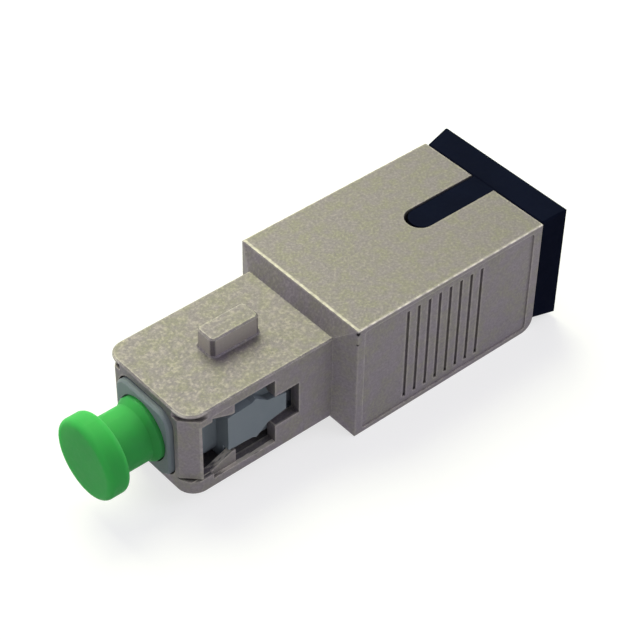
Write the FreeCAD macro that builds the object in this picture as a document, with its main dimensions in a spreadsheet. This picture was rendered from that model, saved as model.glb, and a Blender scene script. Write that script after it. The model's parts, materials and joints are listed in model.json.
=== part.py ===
import FreeCAD, Part
import os
import re
import Sketcher
from FreeCAD import Placement, Rotation, Vector

# Plug-in fibre attenuator, male to female.
# Every piece is drawn about the optical axis, which runs along X from the plug (-X) to the socket (+X).
# X = 0 in that drawing frame is where the plug section ends and the shoulder of the die-cast shell begins.
# The key side is up. The finished pieces are then lifted onto their base and centred on their length.

DRIVING_SIZES = {
    # plug section of the shell
    "plug_long": (12.4, "front edge of the plug to the shoulder"),
    "plug_wide": (9.0, "plug section, across the windows"),
    "plug_tall": (7.4, "plug section, from plate to plate"),
    "plug_wall": (0.85, "side walls of the plug section"),
    "plug_plate": (0.65, "top and bottom plates of the plug section"),
    "plug_corner": (1.35, "plan radius of the plug's front corners"),
    "plug_edge": (0.12, "softening of the edges of the two plates"),
    "key_long": (4.1, "polarising key, length"),
    "key_wide": (1.8, "polarising key, width"),
    "key_proud": (1.6, "polarising key, height over the top plate"),
    "key_setback": (3.35, "shoulder to the rear end of the key"),
    "key_corner": (0.4, "rounding of the key's uprights"),
    "key_edge": (0.12, "softening of the key's top edge"),
    "key_foot": (0.12, "sloping foot of the key"),
    # side windows of the plug section
    "bridge_long": (1.2, "bridge between the plug's front edge and the window"),
    "facet_proud": (0.15, "flat face of a corner post outside the chord of the round corner"),
    "window_setback": (2.95, "shoulder to the rear edge of the window"),
    "window_step": (2.1, "length of the narrow rear part of the window"),
    "window_tall": (5.8, "wide part of the window"),
    "window_rear_tall": (2.8, "narrow rear part of the window"),
    "cam_root_tall": (4.9, "window height in front of the release cams"),
    "cam_tip_tall": (3.5, "gap between the tips of the two release cams"),
    "cam_setback": (3.2, "rear face of a release cam to the window's step"),
    "cam_land": (0.3, "flat land on the tip of a release cam"),
    "cam_rise": (1.8, "length of a release cam's sloping flank"),
    "cam_step": (0.3, "how far a cam lies inside the face of the side wall"),
    "slit_tall": (0.5, "relief slit over the bridge"),
    "slit_deep": (0.4, "depth of the relief slit below the face of its corner post"),
    "slit_drop": (0.2, "top plate's face to the top of the relief slit"),
    "seam_tall": (0.1, "fine seam under the bridge"),
    "seam_deep": (0.15, "depth of the fine seam below the face of its corner post"),
    "seam_rise": (1.2, "bottom plate's face to the fine seam"),
    # shoulder and body of the shell
    "shoulder_long": (0.8, "mitred shoulder between plug and body"),
    "body_long": (17.5, "body, front edge to rear face"),
    "body_wide": (12.3, "body width"),
    "body_tall": (10.0, "body height"),
    "body_wall": (0.8, "body walls round the socket insert"),
    "body_floor": (1.4, "front wall of the body's cavity"),
    "body_heel": (1.1, "rounding of the rear edge of the base"),
    "body_edge": (0.12, "softening of the body's long and rear edges"),
    "slot_wide": (2.3, "key slot in the roof of the socket"),
    "slot_long": (7.4, "key slot, rear face to its round end"),
    "panel_front": (0.65, "body front to the sunk side panel"),
    "panel_rear": (0.85, "body rear to the sunk side panel"),
    "panel_rim": (0.42, "rims over and under the sunk side panel"),
    "panel_deep": (0.1, "depth of the sunk side panel"),
    "panel_corner": (0.3, "corner radius of the sunk side panel"),
    "groove_start": (4.53, "body front to the first grip groove"),
    "groove_pitch": (0.993, "pitch of the grip grooves"),
    "groove_count": (8, "grip grooves on each side"),
    "groove_wide": (0.28, "width of a grip groove"),
    "groove_tall": (8.1, "height of a grip groove"),
    "groove_deep": (0.3, "depth of a grip groove below the side face"),
    # socket insert
    "fit_gap": (0.05, "gap between pieces that are fixed together"),
    "socket_wide": (9.1, "socket opening, width"),
    "insert_roof": (0.4, "roof and floor of the socket insert"),
    "insert_long": (13.0, "length of the socket insert"),
    "mouth_setback": (0.15, "body rear to the rear face of the insert"),
    "arm_slot_long": (6.9, "slots in the insert that the latch arms flex into"),
    "arm_slot_tall": (5.0, "height of those slots"),
    "snap_long": (1.2, "snap lug of the insert, length"),
    "snap_wide": (3.0, "snap lug of the insert, width"),
    "snap_proud": (0.35, "snap lug of the insert, height"),
    "snap_setback": (2.0, "front end of the insert to its snap lugs"),
    # plug frame and what it holds
    "slide_gap": (0.12, "running gap round the sliding plug frame"),
    "slide_travel": (1.5, "push-pull travel of the plug frame"),
    "run_gap": (0.08, "running gap round the ferrule and its collar"),
    "press_gap": (0.01, "gap between the ferrule and the collar pressed on it"),
    "fibre_gap": (0.01, "gap round the bonded fibre"),
    "sleeve_gap": (0.05, "gap round the split sleeve"),
    "lip_gap": (0.2, "gap between a ferrule and the lip of the sleeve tube"),
    "arm_gap": (0.2, "gap between a latch arm and the socket's side"),
    "frame_proud": (0.4, "plug frame ahead of the shell's front edge"),
    "frame_tail": (0.6, "plug frame behind the shoulder"),
    "frame_corner": (0.8, "rounding of the frame's wide part"),
    "frame_bevel": (0.15, "bevel round the frame's front"),
    "nose_wide": (5.7, "width of the frame's nose"),
    "nose_corner": (1.2, "corner radius of the frame's nose"),
    "nose_setback": (8.8, "shoulder to the front of the frame's wide part"),
    "nose_bore": (5.0, "bore that receives the mating sleeve"),
    "nose_deep": (6.0, "depth of that bore"),
    "web_thick": (0.7, "web that stops the ferrule collar"),
    "web_bore": (3.36, "square hole in that web"),
    "tail_bore": (4.9, "bore for the collar and the spring"),
    "latch_rise": (0.62, "latch block over the side of the frame"),
    "latch_tall": (3.6, "latch block, greatest height"),
    "latch_front_tall": (3.0, "latch block, height at its front face"),
    "latch_nick_tall": (3.24, "latch block, height at the start of its short slope"),
    "latch_waist_tall": (2.1, "latch block, height where its taper changes"),
    "latch_tip_tall": (1.5, "height of a latch block at its rear end"),
    "latch_setback": (3.8, "shoulder to the rear face of a latch block"),
    "latch_peak": (6.4, "shoulder to the highest place of a latch block"),
    "latch_slope": (0.35, "short slope ahead of that place"),
    "latch_waist": (5.4, "shoulder to the place where the taper changes"),
    "hook_recess_long": (1.7, "recess behind a latch block"),
    "hook_recess_tall": (3.6, "height of that recess"),
    "hook_recess_deep": (0.5, "depth of that recess"),
    # ferrule, collar, fibre and spring
    "ferrule_bore": (2.5, "ferrule diameter"),
    "ferrule_proud": (2.5, "ferrule tip ahead of the shell's front edge"),
    "ferrule_rear": (4.5, "shoulder to the ferrule's rear end"),
    "ferrule_bevel": (0.35, "bevel at the ferrule's ends"),
    "ferrule_bevel_long": (0.7, "length of that bevel"),
    "end_angle": (8, "polishing angle of the ferrule's ends"),
    "fibre_thick": (0.125, "attenuating fibre diameter"),
    "collar_thick": (1.0, "thickness of that flange"),
    "collar_hub": (3.2, "hub of the ferrule collar"),
    "collar_hub_long": (0.9, "hub behind the flange"),
    "wire_thick": (0.4, "spring wire"),
    "spring_wide": (4.3, "outside diameter of the spring"),
    "spring_turns": (4.5, "turns of the spring"),
    # sleeve seat, latch holder and sleeve
    "seat_setback": (1.8, "front face of the sleeve seat to the shoulder"),
    "seat_wall": (0.6, "front wall of the sleeve seat"),
    "seat_flange": (1.0, "flange of the sleeve seat"),
    "lug_long": (0.7, "snap lug of the sleeve seat, length"),
    "lug_wide": (1.4, "snap lug of the sleeve seat, width"),
    "lug_proud": (0.45, "snap lug over the seat's spigot"),
    "lug_setback": (0.3, "frame's tail to the snap lug"),
    "sleeve_wide": (3.2, "split sleeve, outside diameter"),
    "sleeve_wall": (0.3, "split sleeve, wall"),
    "sleeve_long": (11.35, "split sleeve, length"),
    "sleeve_split": (0.5, "slot of the split sleeve"),
    "holder_tube": (4.7, "outside diameter of the sleeve tube"),
    "holder_plate": (1.2, "thickness of the latch holder's plate"),
    "holder_plate_wide": (9.7, "width of that plate"),
    "holder_plate_tall": (7.3, "height of that plate"),
    "lip_thick": (0.5, "lip that keeps the sleeve in its tube"),
    "arm_long": (6.55, "latch arm behind the plate"),
    "arm_thick": (0.65, "latch arm thickness"),
    "arm_tall": (4.4, "latch arm height"),
    "hook_drop": (0.6, "hook under the latch arm"),
    "hook_long": (1.1, "hook, along the arm"),
    # dust caps
    "cap_gap": (0.1, "gap round the plug cap in the frame's bore"),
    "cap_bore_end": (0.2, "end of that bore ahead of the ferrule tip"),
    "cap_deep": (3.9, "plug cap inside the frame's bore"),
    "cap_collar_proud": (0.25, "collar of the plug cap ahead of the frame"),
    "cap_neck": (4.25, "neck of the plug cap"),
    "cap_flare": (0.45, "cone between the collar and the neck"),
    "cap_neck_long": (2.83, "neck ahead of the collar"),
    "cap_disc": (6.1, "knob of the plug cap"),
    "cap_disc_thick": (1.77, "thickness of the knob"),
    "cap_round": (0.45, "rounding of the knob's rim"),
    "flange_wide": (12.6, "flange of the socket cap at its rear face, width"),
    "flange_tall": (9.9, "flange of the socket cap at its rear face, height"),
    "flange_over": (0.3, "rear face of the flange over the roof of the body"),
    "flange_flare": (0.35, "how far the flange widens on each side towards its rear face"),
    "flange_thick": (2.2, "thickness of the flange"),
    "flange_edge": (0.12, "softening of the flange's edges"),
    "face_gap": (0.05, "gap between the flange and the body"),
    "stopper_gap": (0.1, "gap round the socket cap in the socket"),
    "stopper_wall": (1.0, "wall of the hollow stopper"),
    "stopper_long": (6.35, "stopper in front of the flange"),
    "rib_gap": (0.08, "gap beside the key rib in its slot"),
    "rib_drop": (0.12, "key rib below the roof of the body"),
    "rib_end_gap": (0.35, "round end of the rib short of the slot's end"),
}

doc = FreeCAD.newDocument("FibreAttenuator")
sheet = doc.addObject("Spreadsheet::Sheet", "Sizes")
for row, (alias, (size, meaning)) in enumerate(DRIVING_SIZES.items(), start=1):
    sheet.set(f"A{row}", meaning)
    sheet.set(f"B{row}", str(size))
    sheet.setAlias(f"B{row}", alias)
doc.recompute()

# Places and sizes that follow from the driving sizes, as expressions over the sheet's aliases.
PLUG_FRONT = "(-plug_long)"
BODY_FRONT = "shoulder_long"
BODY_REAR = "(shoulder_long + body_long)"
CAVITY_FLOOR = "(shoulder_long + body_floor)"
CHANNEL_HALF_WIDE = "(plug_wide / 2 - plug_wall)"
CHANNEL_HALF_TALL = "(plug_tall / 2 - plug_plate)"
FRAME_HALF_WIDE = "(plug_wide / 2 - plug_wall - slide_gap)"
FRAME_HALF_TALL = "(plug_tall / 2 - plug_plate - slide_gap)"
FRAME_FRONT = "(-plug_long - frame_proud)"
SOCKET_TALL = "(body_tall - 2 * body_wall - 2 * fit_gap - 2 * insert_roof)"
WEB_FRONT = "(nose_deep - plug_long - frame_proud)"
WEB_REAR = "(nose_deep + web_thick - plug_long - frame_proud)"
COLLAR_FRONT = "(nose_deep + web_thick + fit_gap - plug_long - frame_proud)"
COLLAR_REAR = "(nose_deep + web_thick + fit_gap + collar_thick - plug_long - frame_proud)"
PLATE_FRONT = "(shoulder_long + body_floor + slide_travel + fit_gap)"
PLATE_REAR = "(shoulder_long + body_floor + slide_travel + fit_gap + holder_plate)"
INSERT_FRONT = "(shoulder_long + body_long - insert_long)"
FERRULE_TIP = "(-plug_long - ferrule_proud)"
HOLDER_FRONT = "(frame_tail + seat_flange + 2 * fit_gap)"
SLEEVE_FRONT = "(seat_wall + fit_gap - seat_setback)"
TUBE_END = "(seat_wall + 2 * fit_gap - seat_setback + sleeve_long + lip_thick)"
SPRING_FRONT = "(nose_deep + web_thick + fit_gap + collar_thick - plug_long - frame_proud)"
SPRING_REAR = "(-seat_setback)"
KNOB_REAR = "(-plug_long - frame_proud - cap_collar_proud - cap_neck_long)"
KNOB_FRONT = "(-plug_long - frame_proud - cap_collar_proud - cap_neck_long - cap_disc_thick)"
FLANGE_FRONT = "(shoulder_long + body_long + face_gap)"
FLANGE_REAR = "(shoulder_long + body_long + face_gap + flange_thick)"
LENGTH_CENTRE = f"(({KNOB_FRONT} + {FLANGE_REAR}) / 2)"
AXIS_HEIGHT = "(body_tall / 2)"
BEYOND = 2.0
NEAR = 0.01
END_OVER = 0.5
QUARTER = 1.5707963267948966
ROUND_TURN = 360
EIGHTH_TURN = 45


def bound(text):
    """Write an expression over plain aliases as one over the sheet."""
    def qualify(match):
        word = match.group()
        return f"Sizes.{word}" if word in DRIVING_SIZES else word
    return re.sub(r"[a-z][a-z_]*", qualify, str(text))


def number(text):
    """Value of such an expression, in millimetres."""
    return float(sheet.evalExpression(bound(text)))


def new_body(label):
    body = doc.addObject("PartDesign::Body", label)
    body.Label = label
    set_on_base(body)
    return body


def set_on_base(piece):
    """Lift a piece so that the base lies at Z = 0 and the part is centred on its length."""
    piece.setExpression("Placement.Base.x", bound(f"-{LENGTH_CENTRE}"))
    piece.setExpression("Placement.Base.z", bound(AXIS_HEIGHT))


def add_sketch(body, name, plane, offset="0"):
    """Sketch on one of the body's origin planes, moved along that plane's normal."""
    sketch = body.newObject("Sketcher::SketchObject", name)
    support = next(item for item in body.Origin.OriginFeatures if item.Role == plane)
    sketch.AttachmentSupport = [(support, "")]
    sketch.MapMode = "FlatFace"
    if offset != "0":
        sketch.setExpression("AttachmentOffset.Base.z", bound(offset))
    return sketch


def pin_point(sketch, geometry, end, across, up):
    """Hold one point of the sketch at a place given by two expressions, or by one of them."""
    for kind, text, axis in (("DistanceX", across, -2), ("DistanceY", up, -1)):
        if text is None:
            continue
        if text == "0":
            sketch.addConstraint(Sketcher.Constraint("PointOnObject", geometry, end, axis))
            continue
        index = sketch.addConstraint(
            Sketcher.Constraint(kind, -1, 1, geometry, end, number(text)))
        sketch.setExpression(f"Constraints[{index}]", bound(text))


def draw_outline(sketch, corners):
    """Closed outline of straight lines through corners given as pairs of expressions."""
    first = sketch.GeometryCount
    count = len(corners)
    places = [Vector(number(across), number(up), 0) for across, up in corners]
    for index in range(count):
        sketch.addGeometry(Part.LineSegment(places[index], places[(index + 1) % count]))
    for index in range(count):
        following = first + (index + 1) % count
        sketch.addConstraint(Sketcher.Constraint("Coincident", first + index, 2, following, 1))
    for index, (across, up) in enumerate(corners):
        pin_point(sketch, first + index, 1, across, up)


def draw_rectangle(sketch, left, right, low, high):
    draw_outline(sketch, [(left, low), (right, low), (right, high), (left, high)])


def draw_circle(sketch, across, up, diameter):
    index = sketch.addGeometry(
        Part.Circle(Vector(number(across), number(up), 0), Vector(0, 0, 1), number(diameter) / 2))
    pin_point(sketch, index, 3, across, up)
    size = sketch.addConstraint(Sketcher.Constraint("Diameter", index, number(diameter)))
    sketch.setExpression(f"Constraints[{size}]", bound(diameter))


def draw_round_ended(sketch, start, end, middle, width):
    """Slot shape along the sketch's first axis, with half-round ends."""
    radius = number(width) / 2
    height = number(middle)
    left = number(start) + radius
    right = number(end) - radius
    up = Vector(0, 0, 1)
    left_arc = Part.ArcOfCircle(Part.Circle(Vector(left, height, 0), up, radius), QUARTER, 3 * QUARTER)
    right_arc = Part.ArcOfCircle(Part.Circle(Vector(right, height, 0), up, radius), -QUARTER, QUARTER)
    first = sketch.addGeometry(left_arc)
    lower = sketch.addGeometry(
        Part.LineSegment(Vector(left, height - radius, 0), Vector(right, height - radius, 0)))
    second = sketch.addGeometry(right_arc)
    upper = sketch.addGeometry(
        Part.LineSegment(Vector(right, height + radius, 0), Vector(left, height + radius, 0)))
    for one, one_end, other, other_end in (
            (first, 2, lower, 1), (lower, 2, second, 1), (second, 2, upper, 1), (upper, 2, first, 1)):
        sketch.addConstraint(Sketcher.Constraint("Tangent", one, one_end, other, other_end))
    sketch.addConstraint(Sketcher.Constraint("Equal", first, second))
    pin_point(sketch, first, 3, f"{start} + ({width}) / 2", middle)
    pin_point(sketch, second, 3, f"{end} - ({width}) / 2", middle)
    size = sketch.addConstraint(Sketcher.Constraint("Diameter", first, number(width)))
    sketch.setExpression(f"Constraints[{size}]", bound(width))


def draw_rounded_rectangle(sketch, half_wide, half_tall, radius):
    """Rectangle about the sketch's origin, with four equal round corners."""
    size = number(radius)
    up = Vector(0, 0, 1)
    corners = (("", ""), ("-", ""), ("-", "-"), ("", "-"))
    arcs = []
    for index, (side, level) in enumerate(corners):
        across = f"{side}({half_wide} - {radius})"
        rise = f"{level}({half_tall} - {radius})"
        circle = Part.Circle(Vector(number(across), number(rise), 0), up, size)
        arc = sketch.addGeometry(Part.ArcOfCircle(circle, index * QUARTER, (index + 1) * QUARTER))
        pin_point(sketch, arc, 3, across, rise)
        arcs.append(arc)
    for one, other in zip(arcs, arcs[1:] + arcs[:1]):
        line = sketch.addGeometry(
            Part.LineSegment(sketch.Geometry[one].EndPoint, sketch.Geometry[other].StartPoint))
        sketch.addConstraint(Sketcher.Constraint("Tangent", one, 2, line, 1))
        sketch.addConstraint(Sketcher.Constraint("Tangent", line, 2, other, 1))
    for arc in arcs[1:]:
        sketch.addConstraint(Sketcher.Constraint("Equal", arcs[0], arc))
    corner = sketch.addConstraint(Sketcher.Constraint("Radius", arcs[0], size))
    sketch.setExpression(f"Constraints[{corner}]", bound(radius))


def draw_corner_cuts(sketch, depth):
    """Plan of a straight cut across both front corners of the plug, at 45 degrees.

    The depth counts from the flat face of the corner posts.
    """
    inset = f"sqrt(2) * ({depth} - facet_proud)"
    for sign in ("", "-"):
        side = f"{PLUG_FRONT} + plug_corner + {inset}"
        front = f"{sign}(plug_wide / 2 - plug_corner - {inset})"
        clear = f"{sign}(plug_wide / 2 + {BEYOND})"
        draw_outline(sketch, [
            (side, f"{sign}plug_wide / 2"),
            (PLUG_FRONT, front),
            (f"{PLUG_FRONT} - {BEYOND}", front),
            (f"{PLUG_FRONT} - {BEYOND}", clear),
            (side, clear),
        ])


def solid_feature(body, kind, name, sketch, length, backwards=False, both_ways=False):
    """Pad or pocket of a sketch, with its length bound to the sheet."""
    feature = body.newObject(f"PartDesign::{kind}", name)
    feature.Profile = sketch
    feature.setExpression("Length", bound(length))
    if both_ways:
        feature.SideType = "Symmetric"
    feature.Reversed = backwards
    sketch.Visibility = False
    doc.recompute()
    return feature


def pad(body, name, sketch, length, backwards=False, both_ways=False):
    return solid_feature(body, "Pad", name, sketch, length, backwards, both_ways)


def pocket(body, name, sketch, length, backwards=False, both_ways=False):
    """Cut along the sketch's normal; it must take material away, or the source stops."""
    before = body.Shape.Volume
    feature = solid_feature(body, "Pocket", name, sketch, length, not backwards, both_ways)
    if not body.Shape.Volume < before:
        raise RuntimeError(f"{body.Label}: {name} cuts nothing")
    return feature


def loft(body, name, near_face, far_face):
    """Straight-sided solid between two outlines."""
    doc.recompute()
    feature = body.newObject("PartDesign::AdditiveLoft", name)
    feature.Profile = near_face
    feature.Sections = [far_face]
    feature.Ruled = True
    near_face.Visibility = False
    far_face.Visibility = False
    doc.recompute()
    return feature


def turn(body, name, sketch):
    """Full turn of a half profile about the optical axis."""
    feature = body.newObject("PartDesign::Revolution", name)
    feature.Profile = sketch
    feature.ReferenceAxis = (sketch, ["H_Axis"])
    feature.Angle = ROUND_TURN
    sketch.Visibility = False
    doc.recompute()
    return feature


def edges_of(body, keep):
    """Names of the body's edges whose box passes the test."""
    shape = body.Tip.Shape
    return [f"Edge{index}" for index, edge in enumerate(shape.Edges, start=1) if keep(edge)]


def dress(body, kind, name, keep, size):
    """Fillet or chamfer on the edges that pass the test."""
    doc.recompute()
    base = body.Tip
    names = edges_of(body, keep)
    if not names:
        raise RuntimeError(f"{body.Label}: {name} finds no edge")
    feature = body.newObject(f"PartDesign::{kind}", name)
    feature.Base = (base, names)
    feature.setExpression("Radius" if kind == "Fillet" else "Size", bound(size))
    doc.recompute()
    return feature


def runs_along(edge, axis):
    """True for a straight edge parallel to one axis, given as X, Y or Z."""
    box = edge.BoundBox
    lengths = {"X": box.XLength, "Y": box.YLength, "Z": box.ZLength}
    return all(size < NEAR for name, size in lengths.items() if name != axis)


def lies_at(edge, x=None, y=None, z=None):
    """True if the middle of the edge lies at the places given, signs of Y and Z aside."""
    middle = edge.BoundBox.Center
    if x is not None and abs(middle.x - number(x)) > NEAR:
        return False
    if y is not None and abs(abs(middle.y) - number(y)) > NEAR:
        return False
    return z is None or abs(abs(middle.z) - number(z)) <= NEAR


def is_level(edge):
    return edge.BoundBox.ZLength < NEAR


def on_body_rim(edge):
    """True for the body's long edges, the bends of its heel and the edges of its rear face."""
    box = edge.BoundBox
    if box.XMin < number(BODY_FRONT) - NEAR or box.XMax < number(BODY_FRONT) + NEAR:
        return False
    beside = abs(abs(box.Center.y) - number("body_wide / 2")) < NEAR and box.YLength < NEAR
    return beside or (runs_along(edge, "Y") and lies_at(edge, x=BODY_REAR, z="body_tall / 2"))


def on_key(edge, height):
    """True for a level edge of the key's outline at the height given."""
    box = edge.BoundBox
    half = number("key_wide") / 2 + NEAR
    level = abs(box.ZMin - number(height)) < NEAR and abs(box.ZMax - number(height)) < NEAR
    return level and max(abs(box.YMin), abs(box.YMax)) < half


def build_outer_shell():
    """Die-cast shell: plug section, key, mitred shoulder and body in one piece."""
    body = new_body("outer_shell")
    plug = add_sketch(body, "PlugSection", "YZ_Plane", PLUG_FRONT)
    draw_rectangle(plug, "-plug_wide / 2", "plug_wide / 2", "-plug_tall / 2", "plug_tall / 2")
    pad(body, "PlugBlock", plug, "plug_long")
    dress(body, "Fillet", "PlugCorners",
          lambda edge: runs_along(edge, "Z") and lies_at(edge, x=PLUG_FRONT), "plug_corner")
    dress(body, "Chamfer", "PlateEdges",
          lambda edge: is_level(edge) and lies_at(edge, z="plug_tall / 2") and edge.BoundBox.XMin < -NEAR,
          "plug_edge")

    near_face = add_sketch(body, "ShoulderFront", "YZ_Plane")
    draw_rectangle(near_face, "-plug_wide / 2", "plug_wide / 2", "-plug_tall / 2", "plug_tall / 2")
    far_face = add_sketch(body, "ShoulderRear", "YZ_Plane", BODY_FRONT)
    draw_rectangle(far_face, "-body_wide / 2", "body_wide / 2", "-body_tall / 2", "body_tall / 2")
    loft(body, "Shoulder", near_face, far_face)

    block = add_sketch(body, "BodySection", "YZ_Plane", BODY_FRONT)
    draw_rectangle(block, "-body_wide / 2", "body_wide / 2", "-body_tall / 2", "body_tall / 2")
    pad(body, "BodyBlock", block, "body_long")
    dress(body, "Fillet", "Heel",
          lambda edge: runs_along(edge, "Y") and lies_at(edge, x=BODY_REAR) and edge.BoundBox.ZMax < 0,
          "body_heel")
    dress(body, "Fillet", "BodyEdges", on_body_rim, "body_edge")

    key = add_sketch(body, "KeyPlan", "XY_Plane", "plug_tall / 2 - plug_plate / 2")
    draw_rectangle(key, "-key_setback - key_long", "-key_setback", "-key_wide / 2", "key_wide / 2")
    pad(body, "Key", key, "key_proud + plug_plate / 2")
    dress(body, "Fillet", "KeyCorners",
          lambda edge: runs_along(edge, "Z") and lies_at(edge, y="key_wide / 2")
          and edge.BoundBox.ZMin > number("plug_tall / 2") - NEAR, "key_corner")
    top = "plug_tall / 2 + key_proud"
    dress(body, "Chamfer", "KeyTop", lambda edge: on_key(edge, top), "key_edge")
    dress(body, "Chamfer", "KeyFoot", lambda edge: on_key(edge, "plug_tall / 2"), "key_foot")

    channel = add_sketch(body, "Channel", "YZ_Plane", f"{PLUG_FRONT} + bridge_long")
    draw_rectangle(channel, f"-{CHANNEL_HALF_WIDE}", CHANNEL_HALF_WIDE,
                   f"-{CHANNEL_HALF_TALL}", CHANNEL_HALF_TALL)
    pocket(body, "FrameChannel", channel, f"plug_long - bridge_long + {CAVITY_FLOOR}")
    mouth = add_sketch(body, "Mouth", "YZ_Plane", PLUG_FRONT)
    draw_rounded_rectangle(mouth, "(nose_wide / 2 + slide_gap)", CHANNEL_HALF_TALL,
                           "(nose_corner + slide_gap)")
    pocket(body, "NoseOpening", mouth, "bridge_long")
    cavity = add_sketch(body, "Cavity", "YZ_Plane", CAVITY_FLOOR)
    draw_rectangle(cavity, "body_wall - body_wide / 2", "body_wide / 2 - body_wall",
                   "body_wall - body_tall / 2", "body_tall / 2 - body_wall")
    pocket(body, "InsertCavity", cavity, "body_long")

    window = add_sketch(body, "WindowOutline", "XZ_Plane")
    cam_rear = "(-window_setback - window_step - cam_setback)"
    upper = [
        ("-window_setback", "window_rear_tall / 2"),
        ("-window_setback - window_step", "window_rear_tall / 2"),
        ("-window_setback - window_step", "window_tall / 2"),
        (cam_rear, "window_tall / 2"),
        (cam_rear, "cam_tip_tall / 2"),
        (f"{cam_rear} - cam_land", "cam_tip_tall / 2"),
        (f"{cam_rear} - cam_land - cam_rise", "cam_root_tall / 2"),
        ("bridge_long - plug_long", "cam_root_tall / 2"),
    ]
    lower = [(along, f"-({up})") for along, up in reversed(upper)]
    draw_outline(window, upper + lower)
    pocket(body, "SideWindows", window, f"plug_wide + {BEYOND}", both_ways=True)

    cams = add_sketch(body, "CamFaces", "XY_Plane")
    for sign in ("", "-"):
        near = f"{sign}(plug_wide / 2 - cam_step)"
        far = f"{sign}(plug_wide / 2 + {BEYOND})"
        draw_rectangle(cams, f"{cam_rear} - cam_land - cam_rise", cam_rear, near, far)
    pocket(body, "CamStep", cams, "window_tall", both_ways=True)

    posts = add_sketch(body, "PostPlan", "XY_Plane", "seam_rise - plug_tall / 2")
    draw_corner_cuts(posts, "0")
    pocket(body, "PostFacets", posts, "plug_tall - slit_drop - seam_rise")
    slit = add_sketch(body, "SlitPlan", "XY_Plane", "plug_tall / 2 - slit_drop - slit_tall")
    draw_corner_cuts(slit, "slit_deep")
    pocket(body, "BridgeSlit", slit, "slit_tall")
    seam = add_sketch(body, "SeamPlan", "XY_Plane", "seam_rise - plug_tall / 2")
    draw_corner_cuts(seam, "seam_deep")
    pocket(body, "BridgeSeam", seam, "seam_tall")

    slot = add_sketch(body, "KeySlotPlan", "XY_Plane")
    draw_round_ended(slot, f"{BODY_REAR} - slot_long", f"{BODY_REAR} + {BEYOND} + slot_wide", "0",
                     "slot_wide")
    pocket(body, "KeySlot", slot, "body_tall")

    snaps = add_sketch(body, "SnapPockets", "XY_Plane")
    draw_rectangle(snaps, f"{INSERT_FRONT} + snap_setback - fit_gap",
                   f"{INSERT_FRONT} + snap_setback + snap_long + fit_gap",
                   "-snap_wide / 2 - fit_gap", "snap_wide / 2 + fit_gap")
    pocket(body, "SnapRecesses", snaps, "body_tall - 2 * body_wall + 2 * snap_proud", both_ways=True)

    panels = add_sketch(body, "PanelPlan", "XY_Plane")
    grooves = add_sketch(body, "GroovePlan", "XY_Plane")
    for sign in ("", "-"):
        far = f"{sign}(body_wide / 2 + {BEYOND})"
        draw_rectangle(panels, f"{BODY_FRONT} + panel_front", f"{BODY_REAR} - panel_rear",
                       f"{sign}(body_wide / 2 - panel_deep)", far)
        draw_rectangle(grooves, f"{BODY_FRONT} + groove_start",
                       f"{BODY_FRONT} + groove_start + groove_wide",
                       f"{sign}(body_wide / 2 - groove_deep)", far)
    pocket(body, "SidePanels", panels, "body_tall - 2 * panel_rim", both_ways=True)
    dress(body, "Fillet", "PanelCorners",
          lambda edge: runs_along(edge, "Y") and lies_at(edge, z="body_tall / 2 - panel_rim")
          and abs(abs(edge.BoundBox.Center.y) - number("body_wide / 2")) < number("panel_deep"),
          "panel_corner")
    first = pocket(body, "GripGroove", grooves, "groove_tall", both_ways=True)
    ribs = body.newObject("PartDesign::LinearPattern", "GripGrooves")
    ribs.Originals = [first]
    ribs.Direction = (grooves, ["H_Axis"])
    ribs.setExpression("Length", bound("groove_pitch * (groove_count - 1)"))
    ribs.setExpression("Occurrences", bound("groove_count"))
    body.Tip = ribs
    doc.recompute()
    return body


def build_socket_insert():
    """Moulded liner of the socket, with its key slot, arm slots and snap lugs."""
    body = new_body("socket_insert")
    outer = add_sketch(body, "OuterSection", "YZ_Plane", INSERT_FRONT)
    draw_rectangle(outer, "body_wall + fit_gap - body_wide / 2", "body_wide / 2 - body_wall - fit_gap",
                   "body_wall + fit_gap - body_tall / 2", "body_tall / 2 - body_wall - fit_gap")
    pad(body, "Liner", outer, "insert_long - mouth_setback")
    lugs = add_sketch(body, "SnapLugPlan", "XY_Plane")
    draw_rectangle(lugs, f"{INSERT_FRONT} + snap_setback", f"{INSERT_FRONT} + snap_setback + snap_long",
                   "-snap_wide / 2", "snap_wide / 2")
    pad(body, "SnapLugs", lugs, "body_tall - 2 * body_wall - 2 * fit_gap + 2 * snap_proud", both_ways=True)
    opening = add_sketch(body, "Opening", "YZ_Plane", INSERT_FRONT)
    draw_rectangle(opening, "-socket_wide / 2", "socket_wide / 2",
                   f"-{SOCKET_TALL} / 2", f"{SOCKET_TALL} / 2")
    pocket(body, "SocketOpening", opening, "insert_long")
    arms = add_sketch(body, "ArmSlots", "XZ_Plane")
    draw_rectangle(arms, f"{INSERT_FRONT} - {BEYOND}", f"{INSERT_FRONT} + arm_slot_long",
                   "-arm_slot_tall / 2", "arm_slot_tall / 2")
    pocket(body, "ArmClearance", arms, "body_wide", both_ways=True)
    slot = add_sketch(body, "KeySlotPlan", "XY_Plane")
    draw_round_ended(slot, f"{BODY_REAR} - slot_long - fit_gap", f"{BODY_REAR} + {BEYOND} + slot_wide", "0",
                     "slot_wide + 2 * fit_gap")
    pocket(body, "KeySlot", slot, "body_tall")
    return body


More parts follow.
